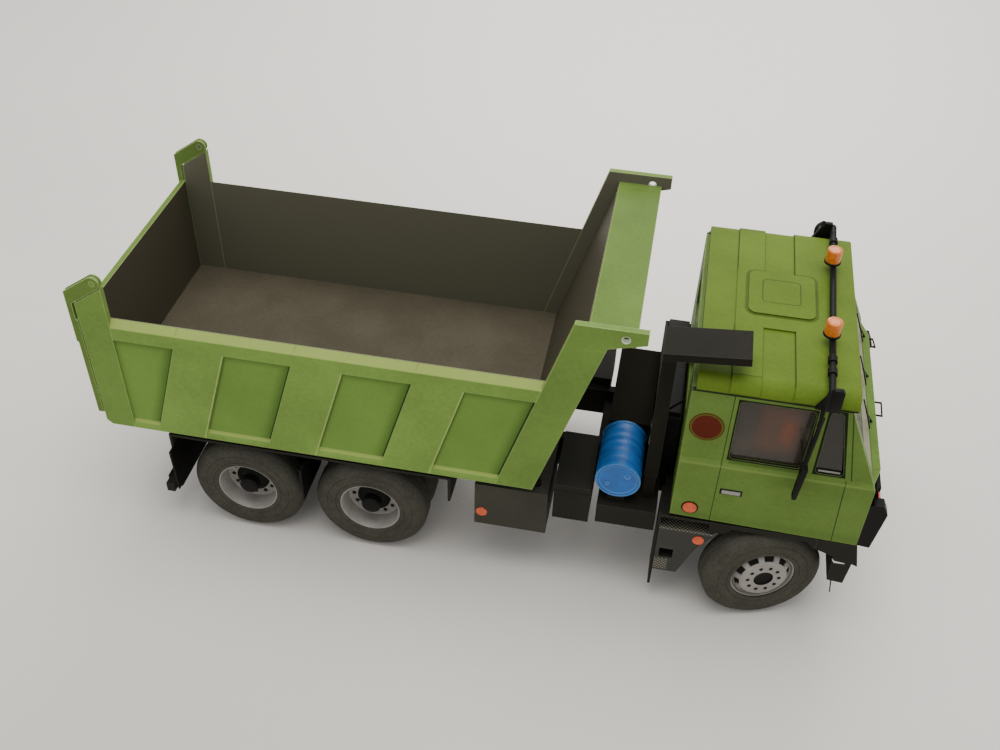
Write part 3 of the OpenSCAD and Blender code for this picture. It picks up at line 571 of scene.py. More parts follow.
    def outline(self, frame_shape: RoundedFrame) -> Value:
        """Draws a rounded rectangle's outline.

        Args:
            frame_shape: The rectangle.

        Returns:
            The mask, 1 on the line.
        """
        g, shape = self.graph, frame_shape
        over = [g.maths("MAXIMUM", g.maths("ABSOLUTE", place - middle) - (half - shape.corner), 0.0)
                for place, middle, half in ((self.x, shape.x, shape.half_x),
                                            (self.y, shape.y, shape.half_y))]
        return g.band(g.distance(*over), shape.corner - shape.width / 2, shape.corner + shape.width / 2,
                      shape.width / 3)


@dataclass(frozen=True)
class CardFinish:
    """Coloured card with a mottled print and fine fibres, paler along its folds and edges: partly pale cut
    card, partly painted highlight.
    """

    name: str
    colour: Colour
    edge_colour: Colour
    printed: Print = Print.PLAIN
    edge_share: float = 0.55
    edge_reach: float = 0.32
    mottle: float = 0.16
    roughness: float = 0.52
    gloss: float = 0.05
    grain: float = 0.12

    def build(self) -> bpy.types.Material:
        """Makes the material.

        Returns:
            The material.
        """
        g = Graph(self.name)
        blotch, fine, fibre = g.noise(22.0, 2.0), g.noise(1.1, 3.0), g.noise(0.5, 1.0, (0.35, 0.35, 2.4))
        tone = g.step(blotch * 0.55 + fine * 0.3 + fibre * 0.15, 0.3, 0.7)
        picture = Picture(g, g.shades(tone, self.colour, 1 - self.mottle, 1 + self.mottle))
        getattr(picture, self.printed.value)()
        # Paler near every edge: partly the card's pale cut and worn edges, partly painted highlight on the
        # folds.
        edge = g.edge(self.edge_reach) * self.edge_share * (0.45 + fine * 1.1)
        colour = g.mix(edge, picture.colour, self.edge_colour)
        rough = g.step(fine, 0.2, 0.8) * 0.12 + (self.roughness - 0.06)
        return g.surface({"Base Color": colour, "Roughness": rough},
                         {"Specular IOR Level": self.gloss},
                         fine * 0.5 + fibre * 0.5, self.grain, 0.05)


@dataclass(frozen=True)
class ChequerFinish:
    """Black card printed with a raised diamond tread pattern."""

    name: str
    pitch: float = 1.15

    def build(self) -> bpy.types.Material:
        """Makes the material.

        Returns:
            The material.
        """
        g = Graph(self.name)
        x, y, z = g.axes()
        first = g.maths("PINGPONG", (x + y + z) * (1 / self.pitch), 0.5)
        second = g.maths("PINGPONG", (x - y - z) * (1 / self.pitch), 0.5)
        dots = g.step(first + second, 0.52, 0.78)
        top = g.step(z, 32.2, 32.5)
        foot = g.step(x, 60.4, 60.2) * g.band(z, 14.4, 19.2, 0.1)
        shown = g.maths("MAXIMUM", top, foot)
        fine = g.noise(1.4)
        plain = g.mix(fine, linear(36, 36, 32), linear(54, 53, 47))
        tread = g.mix(dots, linear(52, 51, 44), linear(142, 138, 120))
        colour = g.mix(shown, plain, tread)
        colour = g.mix(g.edge(0.3) * 0.35, colour, linear(110, 108, 98))
        return g.surface({"Base Color": colour, "Roughness": 0.42 + fine * 0.2},
                         {"Specular IOR Level": 0.4}, dots * shown + fine * 0.3, 0.25, 0.12)


@dataclass(frozen=True)
class RubberFinish:
    """Dark grey rolled paper with a faint lengthways grain, as the tyres are."""

    name: str
    colour: Colour = linear(71, 70, 62)

    def build(self) -> bpy.types.Material:
        """Makes the material.

        Returns:
            The material.
        """
        g = Graph(self.name)
        fine = g.noise(0.8, 4.0)
        broad = g.noise(9.0, 2.0)
        tone = g.step(fine * 0.6 + broad * 0.4, 0.3, 0.7)
        colour = g.shades(tone, self.colour, 0.72, 1.25)
        colour = g.mix(g.edge(0.25) * 0.12, colour, linear(110, 108, 98))
        return g.surface({"Base Color": colour, "Roughness": 0.56 + fine * 0.22},
                         {"Specular IOR Level": 0.1}, fine, 0.3, 0.06)


@dataclass(frozen=True)
class MetalFinish:
    """Silver-printed card with small grey specks."""

    name: str
    colour: Colour = linear(152, 148, 141)
    roughness: float = 0.42
    metallic: float = 0.15

    def build(self) -> bpy.types.Material:
        """Makes the material.

        Returns:
            The material.
        """
        g = Graph(self.name)
        fine = g.noise(0.7, 4.0)
        broad = g.noise(5.0, 2.0)
        tone = g.step(fine * 0.5 + broad * 0.5, 0.25, 0.75)
        colour = g.shades(tone, self.colour, 0.78, 1.08)
        return g.surface({"Base Color": colour, "Roughness": self.roughness + fine * 0.15},
                         {"Metallic": self.metallic, "Specular IOR Level": 0.5}, fine, 0.12, 0.05)


@dataclass(frozen=True)
class DrumFinish:
    """Blue printed card, with soft printed hoops round the drum."""

    name: str
    colour: Colour = linear(28, 98, 172)
    first_y: float = -35.8
    pitch: float = 4.6

    def build(self) -> bpy.types.Material:
        """Makes the material.

        Returns:
            The material.
        """
        g = Graph(self.name)
        _, y, _ = g.axes()
        fine = g.noise(0.9, 3.0)
        broad = g.noise(7.0, 2.0)
        along = g.maths("FLOORED_MODULO", y - self.first_y, self.pitch)
        hoop = g.band(along, 1.7, 2.6, 0.3) * g.step(y, self.first_y + 0.4, self.first_y + 0.7)
        colour = g.shades(g.step(broad, 0.3, 0.7), self.colour, 0.84, 1.15)
        colour = g.mix(hoop * 0.35, colour, linear(16, 66, 128))
        colour = g.mix(g.edge(0.4) * 0.6, colour, linear(120, 182, 228))
        return g.surface({"Base Color": colour, "Roughness": 0.4 + fine * 0.16},
                         {"Specular IOR Level": 0.45}, fine, 0.1, 0.05)


@dataclass(frozen=True)
class LampFinish:
    """Coloured lamp lens with a faintly uneven tone."""

    name: str
    colour: Colour
    glow: float = 0.0

    def build(self) -> bpy.types.Material:
        """Makes the material.

        Returns:
            The material.
        """
        g = Graph(self.name)
        fine = g.noise(1.0, 2.0)
        colour = g.shades(g.step(fine, 0.3, 0.7), self.colour, 0.78, 1.12)
        return g.surface({"Base Color": colour, "Roughness": 0.24 + fine * 0.12},
                         {"Specular IOR Level": 0.5, "Coat Weight": 0.2, "Coat Roughness": 0.1,
                          "Emission Color": opaque(self.colour), "Emission Strength": self.glow})


@dataclass(frozen=True)
class FilmFinish:
    """Thin smoked film in the windows."""

    name: str
    colour: Colour = linear(62, 57, 48)
    alpha: float = 0.88

    def build(self) -> bpy.types.Material:
        """Makes the material.

        Returns:
            The material.
        """
        g = Graph(self.name)
        fine = g.noise(12.0, 2.0)
        x, _, z = g.axes()
        colour = g.shades(g.step(fine, 0.3, 0.7), self.colour, 0.7, 1.3)
        seat = g.band(x, 77.5, 88.0, 2.0) * g.step(z, 65.5, 70.0)
        colour = g.mix(seat * 0.5, colour, linear(98, 62, 44))
        warm = g.band(x, 83.5, 87.0, 1.6) * g.band(z, 71.0, 79.0, 2.5)
        colour = g.mix(warm * 0.5, colour, linear(128, 66, 38))
        colour = g.mix(g.step(z, 81.0, 84.5) * 0.5, colour, linear(40, 38, 33))
        colour = g.mix(g.step(x, 93.0, 94.0) * g.step(x, 103.0, 102.0) * 0.75, colour, linear(36, 36, 31))
        return g.surface({"Base Color": colour, "Roughness": 0.16 + fine * 0.08},
                         {"Alpha": self.alpha, "Specular IOR Level": 0.5})


@dataclass(frozen=True)
class FloorFinish:
    """Pale sheet with a fine embossed dot, brightest at one place on the far side: a painted pool of light,
    with painted shade further out.
    """

    name: str
    colour: Colour = linear(230, 225, 216)
    pitch: float = 2.3
    light_pool_at: Span = (20.0, 400.0)

    def build(self) -> bpy.types.Material:
        """Makes the material.

        Returns:
            The material.
        """
        g = Graph(self.name)
        x, y, _ = g.axes()
        first = g.maths("SINE", (x * 0.96 + y * 0.28) * (2 * math.pi / self.pitch))
        second = g.maths("SINE", (y * 0.96 - x * 0.28) * (2 * math.pi / self.pitch))
        dots = first * second
        broad = g.noise(160.0, 2.0, (0.6, 1.6, 1.0))
        fine = g.noise(1.5, 3.0)
        tone = g.step(broad, 0.2, 0.8)
        from_light_pool = g.distance(x - self.light_pool_at[0], y - self.light_pool_at[1])
        colour = g.shades(tone, self.colour, 0.96, 1.03)
        # Painted pool of light round one place on the far side, and painted shade further out.
        colour = g.mix(g.step(from_light_pool, 120.0, 440.0), scaled(self.colour, 1.24), colour)
        colour = g.mix(g.step(from_light_pool, 400.0, 620.0), colour, scaled(self.colour, 0.8))
        colour = g.mix(g.step(dots, -1.0, 1.0) * 0.035, colour, scaled(self.colour, 0.7))
        return g.surface({"Base Color": colour, "Roughness": 0.4 + fine * 0.1},
                         {"Specular IOR Level": 0.4}, dots * 0.5 + fine * 0.4, 0.2, 0.16)


PALE_GREEN = linear(188, 204, 138)
LEAF = linear(99, 124, 60)
BED_LEAF = linear(111, 139, 68)


class Finishes:
    """All the finishes, each made once."""

    def __init__(self) -> None:
        """Builds the materials."""
        black_edge = linear(96, 95, 86)
        parts = [
            CardFinish("green_card_plain", LEAF, PALE_GREEN),
            CardFinish("green_card_bed_side", scaled(BED_LEAF, 1.24), PALE_GREEN, Print.BED_SIDE, 0.38),
            CardFinish("green_card_posts", BED_LEAF, PALE_GREEN, Print.INSIDE_POSTS, 0.6, 0.36),
            CardFinish("green_card_front_wall", LEAF, PALE_GREEN, Print.INSIDE_FRONT),
            CardFinish("green_card_gate", LEAF, PALE_GREEN, Print.INSIDE_GATE, 0.75, 0.4),
            CardFinish("green_card_cab_side", LEAF, PALE_GREEN, Print.CAB_SIDE, 0.3),
            CardFinish("green_card_cab_front", LEAF, PALE_GREEN, Print.CAB_FRONT, 0.3),
            CardFinish("green_card_cab_roof", linear(93, 115, 42), linear(84, 104, 44),
                       Print.CAB_ROOF, 0.35, 0.4),
            CardFinish("bed_inside_card", INSIDE_FLOOR, linear(120, 118, 100), edge_share=0.2,
                       roughness=0.65, gloss=0.08),
            CardFinish("black_card", linear(44, 43, 38), black_edge, edge_share=0.3, roughness=0.6,
                       gloss=0.08),
            CardFinish("black_card_intake", linear(36, 34, 27), black_edge, edge_share=0.25,
                       roughness=0.6, gloss=0.08),
            CardFinish("black_card_deep", linear(36, 35, 29), linear(62, 61, 54), edge_share=0.2,
                       roughness=0.75, gloss=0.02),
            CardFinish("black_card_tank", linear(66, 65, 57), black_edge, edge_share=0.3, roughness=0.6,
                       gloss=0.08),
            CardFinish("brown_card", linear(96, 56, 38), linear(120, 84, 60), edge_share=0.3),
            CardFinish("black_trim", linear(24, 24, 22), black_edge, edge_share=0.2, roughness=0.5,
                       gloss=0.12),
            CardFinish("pale_paper", linear(214, 213, 204), linear(230, 230, 224), mottle=0.06,
                       roughness=0.7),
            CardFinish("emblem_red", linear(92, 42, 30), linear(120, 60, 44), edge_share=0.2),
            CardFinish("emblem_green", linear(92, 96, 40), linear(120, 120, 60), edge_share=0.3),
            ChequerFinish("chequer_card"),
            RubberFinish("tyre_card"),
            MetalFinish("silver_card"),
            MetalFinish("lamp_glass", linear(214, 214, 210), 0.2, 0.5),
            DrumFinish("blue_card"),
            LampFinish("orange_card", linear(222, 118, 42), 0.03),
            LampFinish("orange_marker", linear(216, 84, 34)),
            LampFinish("red_lamp", linear(170, 26, 20)),
            FilmFinish("window_film"),
            FloorFinish("floor_sheet"),
        ]
        self.made = {part.name: part.build() for part in parts}

    def __getitem__(self, name: str) -> bpy.types.Material:
        """Returns the material of that name."""
        return self.made[name]


# ---- Modelling ----


def clear_selection() -> None:
    """Leaves edit mode and deselects everything."""
    if bpy.context.mode != "OBJECT":
        bpy.ops.object.mode_set(mode="OBJECT")
    bpy.ops.object.select_all(action="DESELECT")


class Form:
    """A mesh that is being shaped, as by hand, in edit mode."""

    def __init__(self, name: str, obj: bpy.types.Object) -> None:
        """Takes over a new object.

        Args:
            name: The piece's name.
            obj: The object.
        """
        self.obj = obj
        obj.name = name
        obj.data.name = name

    @classmethod
    def adopt(cls, name: str) -> "Form":
        """Takes over the primitive that was just added, with its place in its mesh."""
        bpy.ops.object.transform_apply(location=True, rotation=True, scale=True)
        return cls(name, bpy.context.object)

    @classmethod
    def block(cls, name: str, low: Sequence[float], high: Sequence[float]) -> "Form":
        """Starts from a box.

        Args:
            name: The piece's name.
            low: Its lowest corner in millimetres.
            high: Its highest corner.

        Returns:
            The form.
        """
        clear_selection()
        start, end = Vector(low) * MM, Vector(high) * MM
        bpy.ops.mesh.primitive_cube_add(size=1, location=(start + end) / 2, scale=end - start)
        return cls.adopt(name)

    @classmethod
    def rod(cls, name: str, start: Sequence[float], end: Sequence[float], radius: float,
            sides: int = 32) -> "Form":
        """Starts from a rod between two points.

        Args:
            name: The piece's name.
            start: Middle of one end in millimetres.
            end: Middle of the other end.
            radius: Its radius.
            sides: Number of sides.

        Returns:
            The form.
        """
        clear_selection()
        a, b = Vector(start) * MM, Vector(end) * MM
        turn = (b - a).to_track_quat("Z", "Y").to_euler()
        bpy.ops.mesh.primitive_cylinder_add(vertices=sides, radius=radius * MM, depth=(b - a).length,
                                            location=(a + b) / 2, rotation=turn)
        return cls.adopt(name)

    @classmethod
    def turned(cls, name: str, profile: Sequence[tuple[float, float]], sides: int) -> "Form":
        """Spins a profile round the Z axis, as on a lathe.

        Args:
            name: The piece's name.
            profile: Radius and height of each corner in millimetres.
            sides: Number of sides of the result.

        Returns:
            The form.
        """
        clear_selection()
        bpy.ops.mesh.primitive_plane_add(size=MM)
        form = cls.adopt(name)
        bpy.ops.object.mode_set(mode="EDIT")
        bpy.ops.mesh.select_mode(type="VERT")
        bpy.ops.mesh.select_all(action="SELECT")
        bpy.ops.mesh.merge(type="CENTER")
        place = Vector((profile[0][0] * MM, 0, profile[0][1] * MM))
        bpy.ops.transform.translate(value=place)
        for radius, height in profile[1:]:
            after = Vector((radius * MM, 0, height * MM))
            bpy.ops.mesh.extrude_region_move(TRANSFORM_OT_translate={"value": after - place})
            place = after
        bpy.ops.mesh.select_all(action="SELECT")
        bpy.ops.mesh.spin(steps=sides, angle=2 * math.pi, center=(0, 0, 0), axis=(0, 0, 1))
        bpy.ops.mesh.select_all(action="SELECT")
        bpy.ops.mesh.remove_doubles(threshold=1e-6)
        bpy.ops.mesh.normals_make_consistent(inside=False)
        bpy.ops.object.mode_set(mode="OBJECT")
        return form

    @classmethod
    def wire(cls, name: str, points: Sequence[Sequence[float]], radius: float,
             smooth: bool = False) -> "Form":
        """Makes a bent wire with closed ends.

        Args:
            name: The piece's name.
            points: Its bends in millimetres.
            radius: Its radius.
            smooth: Whether it bends in one curve or at each point.

        Returns:
            The form.
        """
        clear_selection()
        bpy.ops.curve.primitive_nurbs_path_add()
        curve = bpy.context.object.data
        curve.splines.clear()
        spline = curve.splines.new("NURBS" if smooth else "POLY")
        spline.points.add(len(points) - 1)
        for point, at in zip(spline.points, points):
            point.co = (*(Vector(at) * MM), 1)
        if smooth:
            spline.use_endpoint_u = True
            spline.order_u = 3
            spline.resolution_u = 8
        curve.dimensions = "3D"
        curve.bevel_depth = radius * MM
        curve.bevel_resolution = 2
        curve.use_fill_caps = True
        bpy.ops.object.convert(target="MESH")
        return cls.adopt(name)

    def choose(self) -> None:
        """Leaves edit mode with only this form selected and active."""
        clear_selection()
        self.obj.select_set(True)
        bpy.context.view_layer.objects.active = self.obj

    def facing(self, toward: str) -> "Form":
        """Selects the faces that look along an axis.

        Args:
            toward: "+X" or "-X" for one direction of an axis, or "X" for both.

        Returns:
            The form, in edit mode.
        """
        axis = "XYZ".index(toward[-1])
        signs = {"+": (1,), "-": (-1,)}.get(toward[0], (1, -1))
        return self.pick("FACE", lambda middle, normal: any(normal[axis] * sign > 0.9 for sign in signs))

    def pick(self, what: str, test: Callable[..., bool]) -> "Form":
        """Selects faces, edges or corners by their place.

        Args:
            what: "FACE", "EDGE" or "VERT".
            test: Told a face's middle and normal, an edge's two ends, or a corner's place.

        Returns:
            The form, in edit mode.
        """
        if bpy.context.mode != "EDIT_MESH":
            self.choose()
            bpy.ops.object.mode_set(mode="EDIT")
        bpy.ops.mesh.select_mode(type=what)
        bpy.ops.mesh.select_all(action="DESELECT")
        mesh = bmesh.from_edit_mesh(self.obj.data)
        mesh.normal_update()
        if what == "FACE":
            chosen = [f for f in mesh.faces if test(f.calc_center_median() / MM, f.normal)]
        elif what == "EDGE":
            chosen = [e for e in mesh.edges if test(*(v.co / MM for v in e.verts))]
        else:
            chosen = [v for v in mesh.verts if test(v.co / MM)]
        for item in chosen:
            item.select_set(True)
        mesh.select_flush_mode()
        bmesh.update_edit_mesh(self.obj.data)
        return self

    def inset(self, width: float, depth: float = 0.0) -> "Form":
        """Insets the selected faces, and pushes them along their normal."""
        bpy.ops.mesh.inset(thickness=width * MM, depth=depth * MM)
        return self

    def extrude(self, *offset: float) -> "Form":
        """Extrudes the selected faces by an offset in millimetres."""
        bpy.ops.mesh.extrude_region_move(TRANSFORM_OT_translate={"value": Vector(offset) * MM})
        return self

    def bevel(self, width: float, segments: int = 2) -> "Form":
        """Bevels the selected edges."""
        bpy.ops.mesh.bevel(offset=width * MM, segments=segments, affect="EDGES")
        return self

    def resize(self, factors: Sequence[float], centre: Sequence[float]) -> "Form":
        """Scales what is selected about a point."""
        bpy.ops.transform.resize(value=factors, center_override=Vector(centre) * MM)
        return self

    def move(self, *offset: float) -> "Form":
        """Moves what is selected by an offset in millimetres."""
        bpy.ops.transform.translate(value=Vector(offset) * MM)
        return self

    def paint(self, index: int) -> "Form":
        """Gives the selected faces another material.

        Args:
            index: Number of the material on the piece.

        Returns:
            The form.
        """
        mesh = bmesh.from_edit_mesh(self.obj.data)
        for face in mesh.faces:
            if face.select:
                face.material_index = index
        bmesh.update_edit_mesh(self.obj.data)
        return self

    def rounded(self, width: float, segments: int = 2, angle: float = 40.0) -> "Form":
        """Rounds all sharp edges with a Bevel modifier, which is applied.

        Args:
            width: Width of the rounding in millimetres.
            segments: Number of steps across it.
            angle: Edges that bend more than this, in degrees, are rounded.

        Returns:
            The form.
        """
        self.choose()
        modifier = self.obj.modifiers.new("edges", "BEVEL")
        modifier.width = width * MM
        modifier.segments = segments
        modifier.limit_method = "ANGLE"
        modifier.angle_limit = math.radians(angle)
        bpy.ops.object.modifier_apply(modifier="edges")
        return self

    def smooth(self, angle: float = 35.0) -> "Form":
        """Shades smoothly over edges flatter than the angle.

        Args:
            angle: The angle in degrees.

        Returns:
            The form.
        """
        self.choose()
        bpy.ops.object.shade_smooth_by_angle(angle=math.radians(angle))
        return self

    def place(self, matrix: Matrix) -> "Form":
        """Puts the mesh at its place in the frame.

        Args:
            matrix: The place; a mirroring one also turns the faces back outwards.

        Returns:
            The form.
        """
        clear_selection()
        self.obj.data.transform(matrix)
        if matrix.determinant() < 0:
            self.obj.data.flip_normals()
        return self

    def copy(self, name: str, matrix: Matrix | None = None) -> "Form":
        """Makes a copy with its own mesh.

        Args:
            name: The copy's name.
            matrix: Where it goes, if it moves.

        Returns:
            The copy.
        """
        clear_selection()
        twin = self.obj.copy()
        twin.data = self.obj.data.copy()
        bpy.context.scene.collection.objects.link(twin)
        form = Form(name, twin)
        return form.place(matrix) if matrix is not None else form

    @staticmethod
    def join(name: str, forms: Iterable["Form"]) -> "Form":
        """Joins several forms into one piece.

        Args:
            name: The piece's name.
            forms: What is joined.

        Returns:
            The joined form.
        """
        clear_selection()
        forms = list(forms)
        for form in forms:
            form.obj.select_set(True)
        bpy.context.view_layer.objects.active = forms[0].obj
        bpy.ops.object.join()
        return Form(name, forms[0].obj)


def at(x: float = 0, y: float = 0, z: float = 0) -> Matrix:
    """Returns a move in millimetres."""
    return Matrix.Translation(Vector((x, y, z)) * MM)


def flipped() -> Matrix:
    """Returns the mirror from the right side to the left."""
    return Matrix.Scale(-1, 4, (0, 1, 0))


class Workshop:
    """Dresses pieces and fixes them to the frame."""

    def __init__(self, finishes: Finishes) -> None:
        """Takes the finishes that pieces are dressed in."""
        self.finishes = finishes
        self.count = 0

    def fit(self, form: Form, body: str, slot: str, *finish: str,
            replaces: Sequence[str] = ()) -> bpy.types.Object:
        """Dresses a form, and makes it ride on a body.

        Args:
            form: The finished form.
            body: The body that carries it.
            slot: The material slot's name, whose finish is used when no finish is given.
            finish: Names of its finishes, in order; the slot's own if none is given.
            replaces: CAD nodes that it stands for.

        Returns:
            The piece.
        """
        clear_selection()
        obj = form.obj
        if not obj.data.materials:
            for name in finish or (slot,):
                obj.data.materials.append(self.finishes[name])
        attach(obj, body)
        if replaces:
            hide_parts(*replaces)
        self.count += 1
        LOG.info("piece %-26s on %-18s %6d faces", obj.name, body, len(obj.data.polygons))
        return obj

    def trim(self, form: Form) -> None:
        """Fits a piece of plain black trim on the chassis."""
        self.fit(form, "chassis", "black_card", "black_trim")

    def trim_pair(self, form: Form) -> None:
        """Fits a right-hand piece of black trim and its mirrored copy."""
        self.pair(form, "chassis", "black_card", "black_trim")

    def pair(self, form: Form, body: str, slot: str, *finish: str) -> None:
        """Fits a right-hand form and its mirrored copy on the left.

        Args:
            form: The right-hand form; its name ends in _right.
            body: The body that carries both.
            slot: The material slot's name, handed on to fit.
            finish: Names of the finishes.
        """
        other = form.copy(form.obj.name.replace("_right", "_left"), flipped())
        self.fit(form, body, slot, *finish)
        self.fit(other, body, slot, *finish)


# ---- The frame's own pieces ----


@dataclass
class FrameDressing:
    """Which finish each of the frame's own pieces gets."""

    finish_of: dict[str, str] = field(default_factory=lambda: {
        "bed_side_right": "green_card_bed_side", "bed_side_left": "green_card_bed_side",
        "bed_front_posts": "green_card_posts", "bed_rear_posts": "green_card_posts",
        "bed_front_wall": "green_card_front_wall", "bed_canopy": "green_card_plain",
        "tailgate": "green_card_gate", "bed_floor": "bed_inside_card",
        "cab_side_right": "green_card_cab_side", "cab_side_left": "green_card_cab_side",
        "cab_front": "green_card_cab_front", "cab_roof": "green_card_cab_roof",
        "cab_back_wall": "green_card_plain", "windows": "window_film",
        "cab_steps": "chequer_card", "blue_drum": "blue_card", "dashboard": "brown_card",
        "air_intake": "black_card_intake", "filter_box": "black_card_deep",
        "fuel_tanks": "black_card_tank",
        "front_bumper": "black_trim", "light_bar": "black_trim"})
    plain: str = "black_card"

    def dress(self, finishes: Finishes) -> None:
        """Gives every piece of the frame its material.

        Args:
            finishes: The finishes.
        """
        for name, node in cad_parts.items():
            finish = finishes[self.finish_of.get(name, self.plain)]
            if node.material_slots:
                for slot in node.material_slots:
                    slot.material = finish
            else:
                node.data.materials.append(finish)
            LOG.info("frame piece %s: %s", name, finish.name)


# ---- Wheels ----


@dataclass
class Assembly:
    """A group of pieces that one workshop dresses and fits."""

    shop: Workshop


def card_disc(name: str, place: Point, radius: float, height: float) -> Form:
    """Makes a round card disc with a sunk face, which looks to the right side.

    Args:
        name: The piece's name.
        place: Middle of its back in millimetres.
        radius: Its radius.
        height: How far it stands out.

    Returns:
        The disc.
    """
    x, y, z = place
    form = Form.rod(name, place, (x, y - height, z), radius, 40)
    return form.facing("-Y").inset(radius * 0.13, -height * 0.35)


def corners(box: Iterable[Vector]) -> tuple[Point, Point]:
    """Returns the two corners of a box in metres as millimetres."""
    return tuple((corner.x / MM, corner.y / MM, corner.z / MM) for corner in box)


@dataclass
class Wheels(Assembly):
    """Tyres and rims, modelled once with Z out of the lorry and copied to each place."""

    tyre_r: float = 17.9
    tyre_w: float = 9.6
    rim_r: float = 9.6
    twin_pitch: float = 11.0
    wheel_face: float = 37.2
    front_x: float = 87.3
    mid_x: float = -32.7
    rear_x: float = -72.7
    kingpin_y: float = 34.1
    front_face: float = 5.2
    steer: float = 16.5
    bolt_count: int = 10
    twin_bolt_count: int = 12
    hub_r: float = 2.93

    def build(self) -> None:
        """Models the wheels and fits them all."""
        tyre = self.tyre()
        tyre.obj.data.materials.append(self.shop.finishes["tyre_card"])
        front = self.front_rim()
        twin = self.twin_rim()
        inner = tyre.copy("inner", at(z=-self.twin_pitch))
        twin_tyre = Form.join("twin_tyre", [tyre.copy("outer"), inner])
        for side in SIDES:
            hand = SIDE_NAMES[side]
            outward = Matrix.Rotation(math.pi / 2 * -side, 4, "X")
            turned = Matrix.Rotation(math.radians(self.steer), 4, "Z")
            hub = at(self.front_x, side * self.kingpin_y, self.tyre_r) @ turned @ outward \
                @ at(z=self.front_face)
            body = f"front_wheel_{hand}"
            self.shop.fit(tyre.copy(f"front_tyre_shape_{hand}", hub), body, "tyre_card",
                          replaces=[f"front_tyre_{hand}"])
            self.shop.fit(front.copy(f"front_rim_shape_{hand}", hub), body, "silver_card",
                          replaces=[f"front_rim_{hand}"])
            for row, x in (("mid", self.mid_x), ("rear", self.rear_x)):
                hub = at(x, side * self.wheel_face, self.tyre_r) @ outward
                body = f"{row}_wheel_{hand}"
                self.shop.fit(twin_tyre.copy(f"{row}_tyre_shape_{hand}", hub), body, "tyre_card",
                              replaces=[f"{row}_tyres_{hand}"])
                self.shop.fit(twin.copy(f"{row}_rim_shape_{hand}", hub), body, "silver_card",
                              replaces=[f"{row}_rims_{hand}"])
        for master in (tyre, front, twin, twin_tyre):
            bpy.data.objects.remove(master.obj)

    def tyre(self) -> Form:
        """Turns one tyre with rolled shoulders, sidewall rings and shallow tread grooves.

        Returns:
            The tyre, its outer face at zero.
        """
        r, w, bead = self.tyre_r, self.tyre_w, self.rim_r
        wall = [(bead, -0.5), (bead + 0.1, -0.12), (bead + 0.7, -0.02), (bead + 1.3, -0.05),
                (bead + 1.45, -0.22), (bead + 1.6, -0.05), (bead + 3.9, 0.0),
                (bead + 4.05, -0.16), (bead + 4.2, -0.02), (r - 2.3, -0.1), (r - 1.5, -0.5),
                (r - 0.7, -1.2), (r - 0.2, -1.95)]
        half = -w / 2
        tread = [(r, -2.6), (r, half + 1.3), (r - 0.3, half + 1.2), (r - 0.3, half + 0.9), (r, half + 0.8)]
        right = wall + tread
        profile = right + [(radius, -w - height) for radius, height in reversed(right)]
        profile.append(profile[0])
        form = Form.turned("tyre", profile, 72)
        return form.smooth(32)

    def dressed(self, form: Form) -> Form:
        """Gives a form the rim's metal finish and its dark one.

        Args:
            form: A part of a rim.

        Returns:
            The form.
        """
        for name in ("silver_card", "black_trim"):
            form.obj.data.materials.append(self.shop.finishes[name])
        return form

    def nuts(self, nut: Form, count: int) -> Form:
        """Copies a nut round its rim.

        Args:
            nut: The nut at its place, with Z as the wheel's axis.
            count: Number of nuts.

        Returns:
            The ring of nuts.
        """
        nut.facing("+Z").inset(0.15, -0.07)
        clear_selection()
        copies = [nut.copy("nut", Matrix.Rotation(2 * math.pi * i / count, 4, "Z"))
                  for i in range(1, count)]
        ring = self.dressed(Form.join("nuts", [nut] + copies))
        ring.pick("FACE", lambda middle, normal: True).paint(1)
        clear_selection()
        return ring

    def front_rim(self) -> Form:
        """Turns the front rim, with hand holes in its cone and nuts on its flat ring.

        Returns:
            The rim.
        """
        sides = 60
        lip = self.rim_r
        profile = [(0, 0.02), (1.5, 0.02), (2.55, 0.12), (2.9, 0.1), (2.95, 0.5), (6.55, 0.5), (6.85, 0.38),
                   (7.15, 0.1), (8.75, -1.3), (8.95, -1.75), (9.05, -1.1), (9.2, -0.75), (lip, -0.7),
                   (lip, -self.tyre_w), (lip - 0.5, -self.tyre_w), (8.5, -2.6), (6.6, -0.35),
                   (2.4, -0.35), (2.4, -2.1), (1.9, -2.1), (1.9, -0.55), (0, -0.55)]
        form = Form.turned("front_rim", profile, sides)
        slice_angle, hole_angle = 360 / sides, 360 / self.bolt_count

        def hand_hole(middle: Vector, normal: Vector) -> bool:
            """Tells whether a face of the cone lies in a hand hole.

            Args:
                middle: The face's middle in millimetres.
                normal: Where the face looks.

            Returns:
                True in a hand hole.
            """
            radius = math.hypot(middle.x, middle.y)
            turn = math.degrees(math.atan2(middle.y, middle.x)) % hole_angle
            return 7.2 < radius < 8.7 and middle.z > -1.5 and normal.z > 0.2 and turn < 4 * slice_angle

        form.pick("FACE", hand_hole).inset(0.06).inset(0.12, -0.5)

        def hole_floor(middle: Vector, normal: Vector) -> bool:
            """Tells whether a face lies below the cone's line, at the bottom of a hand hole.

            Args:
                middle: The face's middle in millimetres.
                normal: Where the face looks.

            Returns:
                True at the bottom of a hole.
            """
            radius = math.hypot(middle.x, middle.y)
            cone_z = 1.12 - 0.88 * (radius - 5.6)
            return 7.0 < radius < 8.8 and normal.z > 0.3 and middle.z < cone_z

        form.pick("FACE", hole_floor).paint(1)
        form.pick("FACE", lambda c, n: math.hypot(c.x, c.y) < self.hub_r and c.z > -0.2).paint(1)
        clear_selection()
        self.dressed(form.smooth(28))
        nut = Form.rod("nut", (4.75, 0, 0.35), (4.75, 0, 0.58), 0.58, 16)
        return Form.join("front_rim", [form, self.nuts(nut, self.bolt_count)])

